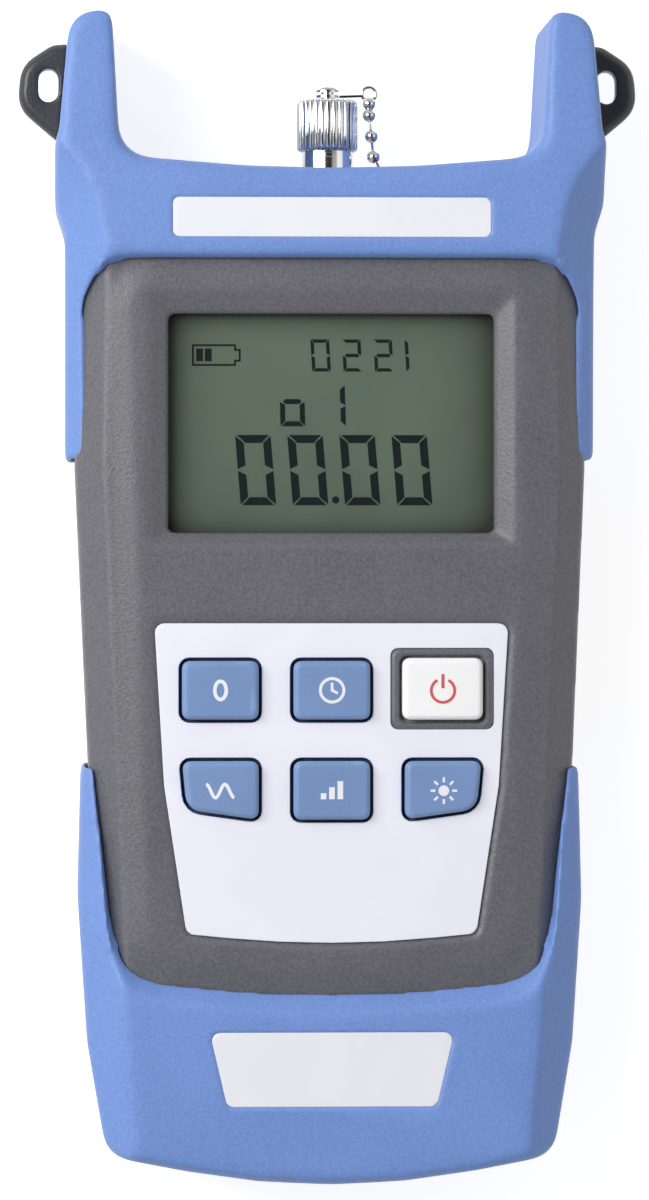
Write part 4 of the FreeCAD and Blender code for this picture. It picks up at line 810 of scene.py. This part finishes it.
def sign_timer(bm, x, y, low, high):
    ribbon(bm, circle_line(x, y, CLOCK_RADIUS), 0.45, low, high, closed=True)
    ribbon(bm, [(x, y + 1.15), (x, y), (x + 0.85, y - 0.45)], 0.4, low, high)


def sign_light(bm, x, y, low, high):
    prism(bm, circle_line(x, y, 0.8), low, high)
    for i in range(8):
        turn = math.pi * i / 4
        near = (x + 1.25 * math.cos(turn), y + 1.25 * math.sin(turn))
        far = (x + 2.0 * math.cos(turn), y + 2.0 * math.sin(turn))
        ribbon(bm, [near, far], 0.36, low, high)


def sign_unit(bm, x, y, low, high):
    foot = y - 1.3
    for i in range(3):
        left = x - 1.7 + i * 1.25
        right = left + 0.85
        top = foot + 0.9 * (i + 1)
        prism(bm, [(left, foot), (right, foot), (right, top), (left, top)], low, high)


def sign_wave(bm, x, y, low, high):
    shares = [i / 14 - 1 for i in range(29)]
    line = [(x + 2.1 * share, y + math.sin(math.pi * 1.5 * share)) for share in shares]
    ribbon(bm, line, 0.5, low, high)


SIGNS = {"power": sign_power, "zero": sign_zero, "timer": sign_timer, "light": sign_light,
         "unit": sign_unit, "wave": sign_wave}
for key, draw in SIGNS.items():
    low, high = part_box("key_" + key)
    middle = (low + high) / 2 / MM
    bm = bmesh.new()
    draw(bm, middle.x, middle.y, high.z / MM - LEGEND_SINK, high.z / MM + LEGEND_RISE)
    ink = legend_red if key == "power" else legend_white
    sign = mesh_object(key + "_key_sign", bm)
    dress(sign, "key_white", body=body_of_node("key_" + key), finish=ink)


# ---------------------------------------------------------------- display
def seven_segment(bm, marks, x, y, width, height, stroke, lean, low, high):
    """One seven-segment figure; marks are the lit segments a to g, and lean is its shift at the top."""
    half = stroke / 2
    gap = stroke * 0.1
    end_cut = stroke * 0.9
    left, right = x + half, x + width - half
    floor, roof, waist = y + half, y + height - half, y + height / 2

    def slant(points):
        return [(px + lean * (py - y) / height, py) for px, py in points]

    def middle_bar(at):
        a, b = left + gap, right - gap
        shape = [(a, at), (a + half, at - half), (b - half, at - half), (b, at),
                 (b - half, at + half), (a + half, at + half)]
        prism(bm, slant(shape), low, high)

    def outer_bar(at, side):
        """Top or bottom bar, with ends cut on the slant towards the middle."""
        a, b = x + gap * 2, x + width - gap * 2
        inner = at - side * half
        outer = at + side * half
        shape = [(a, outer), (b, outer), (b - stroke, inner), (a + stroke, inner)]
        prism(bm, slant(shape if side < 0 else shape[::-1]), low, high)

    def upright(at, from_y, to_y, side):
        outer, inner = at + side * half, at - side * half
        foot, top = from_y + gap, to_y - gap
        foot_cut = end_cut if from_y < waist - half else half
        top_cut = end_cut if to_y > waist + half else half
        shape = [(outer, foot), (outer, top), (inner, top - top_cut), (inner, foot + foot_cut)]
        prism(bm, slant(shape if side < 0 else shape[::-1]), low, high)

    bars = {"a": (outer_bar, roof, 1), "d": (outer_bar, floor, -1), "g": (middle_bar, waist),
            "b": (upright, right, waist, y + height, 1), "c": (upright, right, y, waist, 1),
            "f": (upright, left, waist, y + height, -1), "e": (upright, left, y, waist, -1)}
    for mark, (draw, *where) in bars.items():
        if mark in marks:
            draw(*where)


FIGURES = {"0": "abcdef", "2": "abged", "1": "fe", "low zero": "gecd"}


INK_RISE = 0.03


def display_segments():
    """Plain figures and a battery sign, in mm from the middle of the display's face."""
    face_low, face_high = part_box("lcd_glass")
    middle_y = (face_low.y + face_high.y) / 2 / MM
    low = face_high.z / MM
    high = low + INK_RISE
    bm = bmesh.new()
    for i in range(4):
        seven_segment(bm, FIGURES["0"], -13.45 + 7.8 * i, middle_y - 12.2, 5.3, 10.5, 1.2, -0.85, low, high)
    prism(bm, circle_line(0.75, middle_y - 11.4, 0.55, count=16), low, high)
    for i, figure in enumerate("0221"):
        width = 2.8 if figure != "1" else 1.2
        seven_segment(bm, FIGURES[figure], -2.75 + 4.7 * i, middle_y + 7.8, width, 4.8, 0.5, -0.3, low, high)
    seven_segment(bm, FIGURES["low zero"], -7.5, middle_y - 0.4, 3.7, 7.4, 0.75, -0.2, low, high)
    seven_segment(bm, "bc", -0.9, middle_y - 0.4, 3.2, 6.2, 0.75, -0.2, low, high)
    battery = [(-20.6, 8.75), (-14.3, 8.75), (-14.3, 9.4), (-13.6, 9.4), (-13.6, 11.0), (-14.3, 11.0),
               (-14.3, 11.7), (-20.6, 11.7)]
    ribbon(bm, [(x, y + middle_y) for x, y in battery], 0.28, low, high, closed=True)
    foot, top = middle_y + 9.3, middle_y + 11.2
    for left in (-20.1, -18.8):
        right = left + 1.0
        prism(bm, [(left, foot), (right, foot), (right, top), (left, top)], low, high)
    return mesh_object("display_figures", bm)


dress(display_segments(), "lcd_face", body="case", finish=segment_ink)
dress(softened("display_cell", "lcd_glass", plate_edges), "lcd_face", "lcd_glass")
dress(softened("display_cover", "display_window", plate_edges), "clear_window", "display_window")


# ---------------------------------------------------------------- receptacle, cap and chain
BODY_LOW, BODY_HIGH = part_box("receptacle_body")
AXIS_Z = (BODY_LOW.z + BODY_HIGH.z) / 2 / MM
BARREL_END = BODY_HIGH.y / MM
CAP_LOW, CAP_TOP = (corner.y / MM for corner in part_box("dust_cap"))
CAP_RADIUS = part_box("dust_cap")[1].x / MM
BARREL_RADIUS = 4.0
BARREL_CORE = 3.8
THREAD_PITCH = 0.75
FLANGE_Y = 63.5
CAP_FLUTES = 28
FLUTE_DEPTH = 0.32
CAP_SKIN = 0.5            # points this near the cap's radius are its skin
CAP_ROOF = 2.6            # thickness of the cap over the barrel
RIVET_HEAD = 1.9          # radius of the rivet's head
RIVET_DOME = 0.95         # height of its dome
RIVET_SHANK = 1.05
MERGE = 0.001             # points of a turned body closer than this are one


def slimmed_barrel(bm):
    """Takes the barrel down to the core of its thread."""
    for vert in bm.verts:
        reach = math.hypot(vert.co.x / MM, vert.co.z / MM - AXIS_Z)
        if vert.co.y / MM > FLANGE_Y + 0.1 and abs(reach - BARREL_RADIUS) < 0.05:
            share = BARREL_CORE / BARREL_RADIUS
            vert.co.x *= share
            vert.co.z = (AXIS_Z + (vert.co.z / MM - AXIS_Z) * share) * MM


def receptacle_edges(middle, angle):
    return 0.12 if angle > TURNED_DEG else 0


def fluted(radius, turn):
    """Radius of the cap's skin: narrow grooves between rounded ribs, none on the bore."""
    if radius < CAP_RADIUS - CAP_SKIN:
        return radius
    wave = abs(math.cos(CAP_FLUTES * turn / 2))
    groove = (1 - wave) ** 2
    return radius - FLUTE_DEPTH * groove


def knurled_cap():
    bore = BARREL_RADIUS + 0.06
    roof = CAP_TOP - CAP_ROOF
    r = CAP_RADIUS
    profile = [(bore, CAP_LOW), (r - 0.55, CAP_LOW), (r - 0.18, CAP_LOW + 0.12), (r, CAP_LOW + 0.45),
               (r, (CAP_LOW + CAP_TOP) / 2), (r, CAP_TOP - 0.6), (r - 0.16, CAP_TOP - 0.2),
               (r - 0.55, CAP_TOP), (RIVET_HEAD, CAP_TOP), (0, CAP_TOP), (0, roof), (bore, roof)]
    bm = bmesh.new()
    turned(bm, profile, (0, AXIS_Z), CAP_FLUTES * 8, fluted)
    bmesh.ops.remove_doubles(bm, verts=bm.verts, dist=MERGE * MM)
    cap = mesh_object("knurled_cap", bm)
    set_smooth(cap, 30)
    return cap


def domed_rivet():
    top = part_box("cap_rivet")[1].y / MM
    under, rim, sunk = top - 1.2, top - RIVET_DOME, CAP_TOP - 0.2
    profile = [(0, sunk), (RIVET_SHANK, sunk), (RIVET_SHANK, under), (RIVET_HEAD, under), (RIVET_HEAD, rim)]
    for i in range(1, 7):
        turn = math.radians(90 * i / 7)
        profile.append((RIVET_HEAD * math.cos(turn), rim + RIVET_DOME * math.sin(turn)))
    profile.append((0, top))
    bm = bmesh.new()
    turned(bm, profile, (0, AXIS_Z), 36)
    bmesh.ops.remove_doubles(bm, verts=bm.verts, dist=MERGE * MM)
    rivet = mesh_object("domed_rivet", bm)
    set_smooth(rivet, 40)
    return rivet


def wire_ring(bm, middle, radius, wire, count=ARC_POINTS, sides=10):
    """A ring of round wire, flat to the display, with its middle and sizes in mm."""
    rings = []
    for i in range(count):
        turn = 2 * math.pi * i / count
        out = Vector((math.cos(turn), math.sin(turn), 0))
        centre = middle + out * radius
        ring = []
        for k in range(sides):
            around = 2 * math.pi * k / sides
            skin = out * math.cos(around) + Vector((0, 0, 1)) * math.sin(around)
            ring.append(bm.verts.new((centre + skin * wire) * MM))
        rings.append(ring)
    for i in range(count):
        first, second = rings[i], rings[(i + 1) % count]
        for k in range(sides):
            n = (k + 1) % sides
            bm.faces.new((first[k], first[n], second[n], second[k]))


def chain_hook():
    """The flat eye round the rivet, its arm and the ring that the chain hangs from."""
    seat = CAP_TOP + 0.35
    thick = 0.4
    hole = 1.14
    bm = bmesh.new()
    eye = [(hole, seat), (RIVET_HEAD, seat), (RIVET_HEAD, seat + thick), (hole, seat + thick)]
    turned(bm, eye, (0, AXIS_Z), 32)
    ring_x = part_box("chain_eyelet")[1].x / MM - 1.33
    wire_ring(bm, Vector((ring_x, seat + 0.65, AXIS_Z)), 1.05, 0.28)
    arm_end = ring_x - 1.0
    arm = [(1.7, seat), (arm_end, seat + 0.15), (arm_end, seat + 0.5), (1.7, seat + thick)]
    prism(bm, arm, AXIS_Z - 0.4, AXIS_Z + 0.4)
    hook = mesh_object("chain_hook", bm)
    set_smooth(hook, 40)
    return hook


# The chain's balls, from the ring on the cap to the anchor on the flange
BALLS = [(6.3, 74.75, 16.5), (6.3, 73.0, 16.5), (6.65, 69.85, 16.4), (6.96, 66.8, 16.0),
         (8.3, 64.6, 14.2), (9.6, 64.3, 11.4), (8.2, 63.9, 8.7)]

nickel = finishes["nickel"]
receptacle = softened("receptacle", "receptacle_body", receptacle_edges, slimmed_barrel)
dress(receptacle, "nickel", "receptacle_body")
thread = grown("barrel_thread", thread_tree(), [(0, FLANGE_Y + 0.5, AXIS_Z)],
               {"Thread Radius": BARREL_CORE, "Ridge Radius": 0.12,
                "Length": BARREL_END - FLANGE_Y - 0.8, "Pitch": THREAD_PITCH}, nickel)
set_smooth(thread, 60)
dress(thread, "nickel", body="case")
dress(knurled_cap(), "nickel", "dust_cap")
dress(domed_rivet(), "nickel", "cap_rivet")
dress(chain_hook(), "nickel", "chain_eyelet")

chain = grown("ball_chain", bead_chain_tree(), BALLS, {"Ball Radius": 1.05, "Link Radius": 0.22},
              nickel, joined=True)
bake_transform(chain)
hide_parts("bead_chain")

# ---------------------------------------------------------------- screws
HEAD_HEIGHT = 1.8
HEAD_SIZES = {"Head Radius": 2.4, "Head Height": HEAD_HEIGHT, "Cross Length": 2.6, "Cross Width": 0.6,
              "Cross Depth": 1.0}
SCREWS_HIGH = (31.0, 34.0)        # x and y of the upper pair, right of the middle
SCREWS_LOW = (28.2, -58.0)        # and of the lower pair
head_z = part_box("case_screws")[0].z / MM + HEAD_HEIGHT / 2
screw_places = [(side * x, y, head_z) for x, y in (SCREWS_HIGH, SCREWS_LOW) for side in (1, -1)]
screws = grown("case_screw_heads", screw_head_tree(), screw_places, HEAD_SIZES, finishes["screw_steel"])
dress(screws, "screw_steel", "case_screws")

# ---------------------------------------------------------------- inner pieces keep their solids
SLOT_OF_NODE = {
    "switch_bodies": "black_plastic", "lcd_frame": "white_plastic", "backlight_panel": "white_plastic",
    "contact_strips": "black_rubber", "main_board": "board_laminate", "board_screws": "screw_steel",
    "processor_chip": "black_plastic", "amplifier_chip": "black_plastic", "detector_can": "gilt_can",
    "alignment_sleeve": "sleeve_ceramic", "receptacle_screws": "screw_steel", "chain_anchor": "nickel",
    "contacts_low": "spring_strip", "contacts_high": "spring_strip",
    "cell_left": "cell_can", "cell_middle": "cell_can", "cell_right": "cell_can",
}
for key in KEY_NAMES:
    SLOT_OF_NODE["plunger_" + key] = "black_plastic"
for node, slot in SLOT_OF_NODE.items():
    obj = frame["nodes"][node]
    obj.data.materials.clear()
    obj.data.materials.append(finishes[slot])

# ---------------------------------------------------------------- studio
TARGET = Vector((-0.45, -0.37, 16.5)) * MM
CAMERA_DISTANCE = 0.9
CAMERA_YAW = math.radians(2.5)
VIEW_HEIGHT = 181.6 * MM
SENSOR = 36.0


def studio_camera():
    data = bpy.data.cameras.new("studio camera")
    camera = bpy.data.objects.new("studio camera", data)
    bpy.context.scene.collection.objects.link(camera)
    back = Vector((-math.sin(CAMERA_YAW), 0, math.cos(CAMERA_YAW)))
    up = Vector((0, 1, 0))
    right = up.cross(back).normalized()
    up = back.cross(right)
    turn = Matrix((right, up, back)).transposed().to_4x4()
    camera.matrix_world = Matrix.Translation(TARGET + back * CAMERA_DISTANCE) @ turn
    data.sensor_fit = "VERTICAL"
    data.sensor_height = SENSOR
    data.lens = SENSOR * CAMERA_DISTANCE / VIEW_HEIGHT
    data.clip_start, data.clip_end = 0.05, 20
    bpy.context.scene.camera = camera


def softbox(name, place, size, power, aim=(0, 0, 0.02)):
    data = bpy.data.lights.new(name, "AREA")
    data.shape = "RECTANGLE"
    data.size, data.size_y = size
    data.energy = power
    lamp = bpy.data.objects.new(name, data)
    bpy.context.scene.collection.objects.link(lamp)
    lamp.location = place
    lamp.rotation_euler = (Vector(aim) - Vector(place)).to_track_quat("-Z", "Y").to_euler()


def light_path_mix(nodes, links, plain, seen):
    """Shows one shader to the lamps and another to camera, glossy and transmission rays."""
    path = nodes.new("ShaderNodeLightPath")
    seen_by = path.outputs["Is Camera Ray"]
    for label in ("Is Glossy Ray", "Is Transmission Ray"):
        either = nodes.new("ShaderNodeMath")
        either.operation = "MAXIMUM"
        links.new(seen_by, either.inputs[0])
        links.new(path.outputs[label], either.inputs[1])
        seen_by = either.outputs[0]
    mix = nodes.new("ShaderNodeMixShader")
    links.new(seen_by, mix.inputs[0])
    links.new(plain, mix.inputs[1])
    links.new(seen, mix.inputs[2])
    return mix.outputs[0]


def studio_world():
    """Soft light from all round, dim straight overhead."""
    world = bpy.data.worlds.new("studio")
    bpy.context.scene.world = world
    world.use_nodes = True
    nodes, links = world.node_tree.nodes, world.node_tree.links
    nodes.clear()
    way = nodes.new("ShaderNodeTexCoord")
    split = nodes.new("ShaderNodeSeparateXYZ")
    links.new(way.outputs["Generated"], split.inputs["Vector"])
    ramp = nodes.new("ShaderNodeValToRGB")
    ramp.color_ramp.elements[0].position = 0.0
    ramp.color_ramp.elements[0].color = (0.42, 0.43, 0.46, 1)
    ramp.color_ramp.elements[1].position = 1.0
    ramp.color_ramp.elements[1].color = (0.03, 0.03, 0.035, 1)
    for position, level in ((0.25, 0.50), (0.6, 0.62), (0.80, 0.58), (0.87, 0.05)):
        element = ramp.color_ramp.elements.new(position)
        element.color = (level, level, level * 1.02, 1)
    links.new(split.outputs["Z"], ramp.inputs["Fac"])
    around = nodes.new("ShaderNodeBackground")
    links.new(ramp.outputs["Color"], around.inputs["Color"])
    end = nodes.new("ShaderNodeOutputWorld")
    links.new(around.outputs[0], end.inputs["Surface"])


def studio_floor():
    bm = bmesh.new()
    bmesh.ops.create_grid(bm, x_segments=1, y_segments=1, size=1.6)
    bmesh.ops.translate(bm, verts=bm.verts, vec=(0, 0, -0.0002))
    floor = mesh_object("studio_floor", bm)
    if floor.data.polygons[0].normal.z < 0:
        floor.data.flip_normals()
    material = bpy.data.materials.new("white sweep")
    material.use_nodes = True
    nodes, links = material.node_tree.nodes, material.node_tree.links
    nodes.clear()
    matt = new_node(material.node_tree, "ShaderNodeBsdfDiffuse", Color=(0.60, 0.60, 0.60, 1))
    glow = new_node(material.node_tree, "ShaderNodeEmission", Strength=0.76)
    both = nodes.new("ShaderNodeAddShader")
    links.new(matt.outputs[0], both.inputs[0])
    links.new(glow.outputs[0], both.inputs[1])
    end = nodes.new("ShaderNodeOutputMaterial")
    links.new(light_path_mix(nodes, links, matt.outputs[0], both.outputs[0]), end.inputs["Surface"])
    floor.data.materials.append(material)


studio_camera()
studio_world()
studio_floor()
softbox("upper left box", (-0.42, 0.20, 0.50), (0.26, 0.60), 3.9)
softbox("right box", (0.50, 0.10, 0.45), (0.30, 0.80), 0.35)
bpy.context.scene.view_settings.view_transform = "Standard"
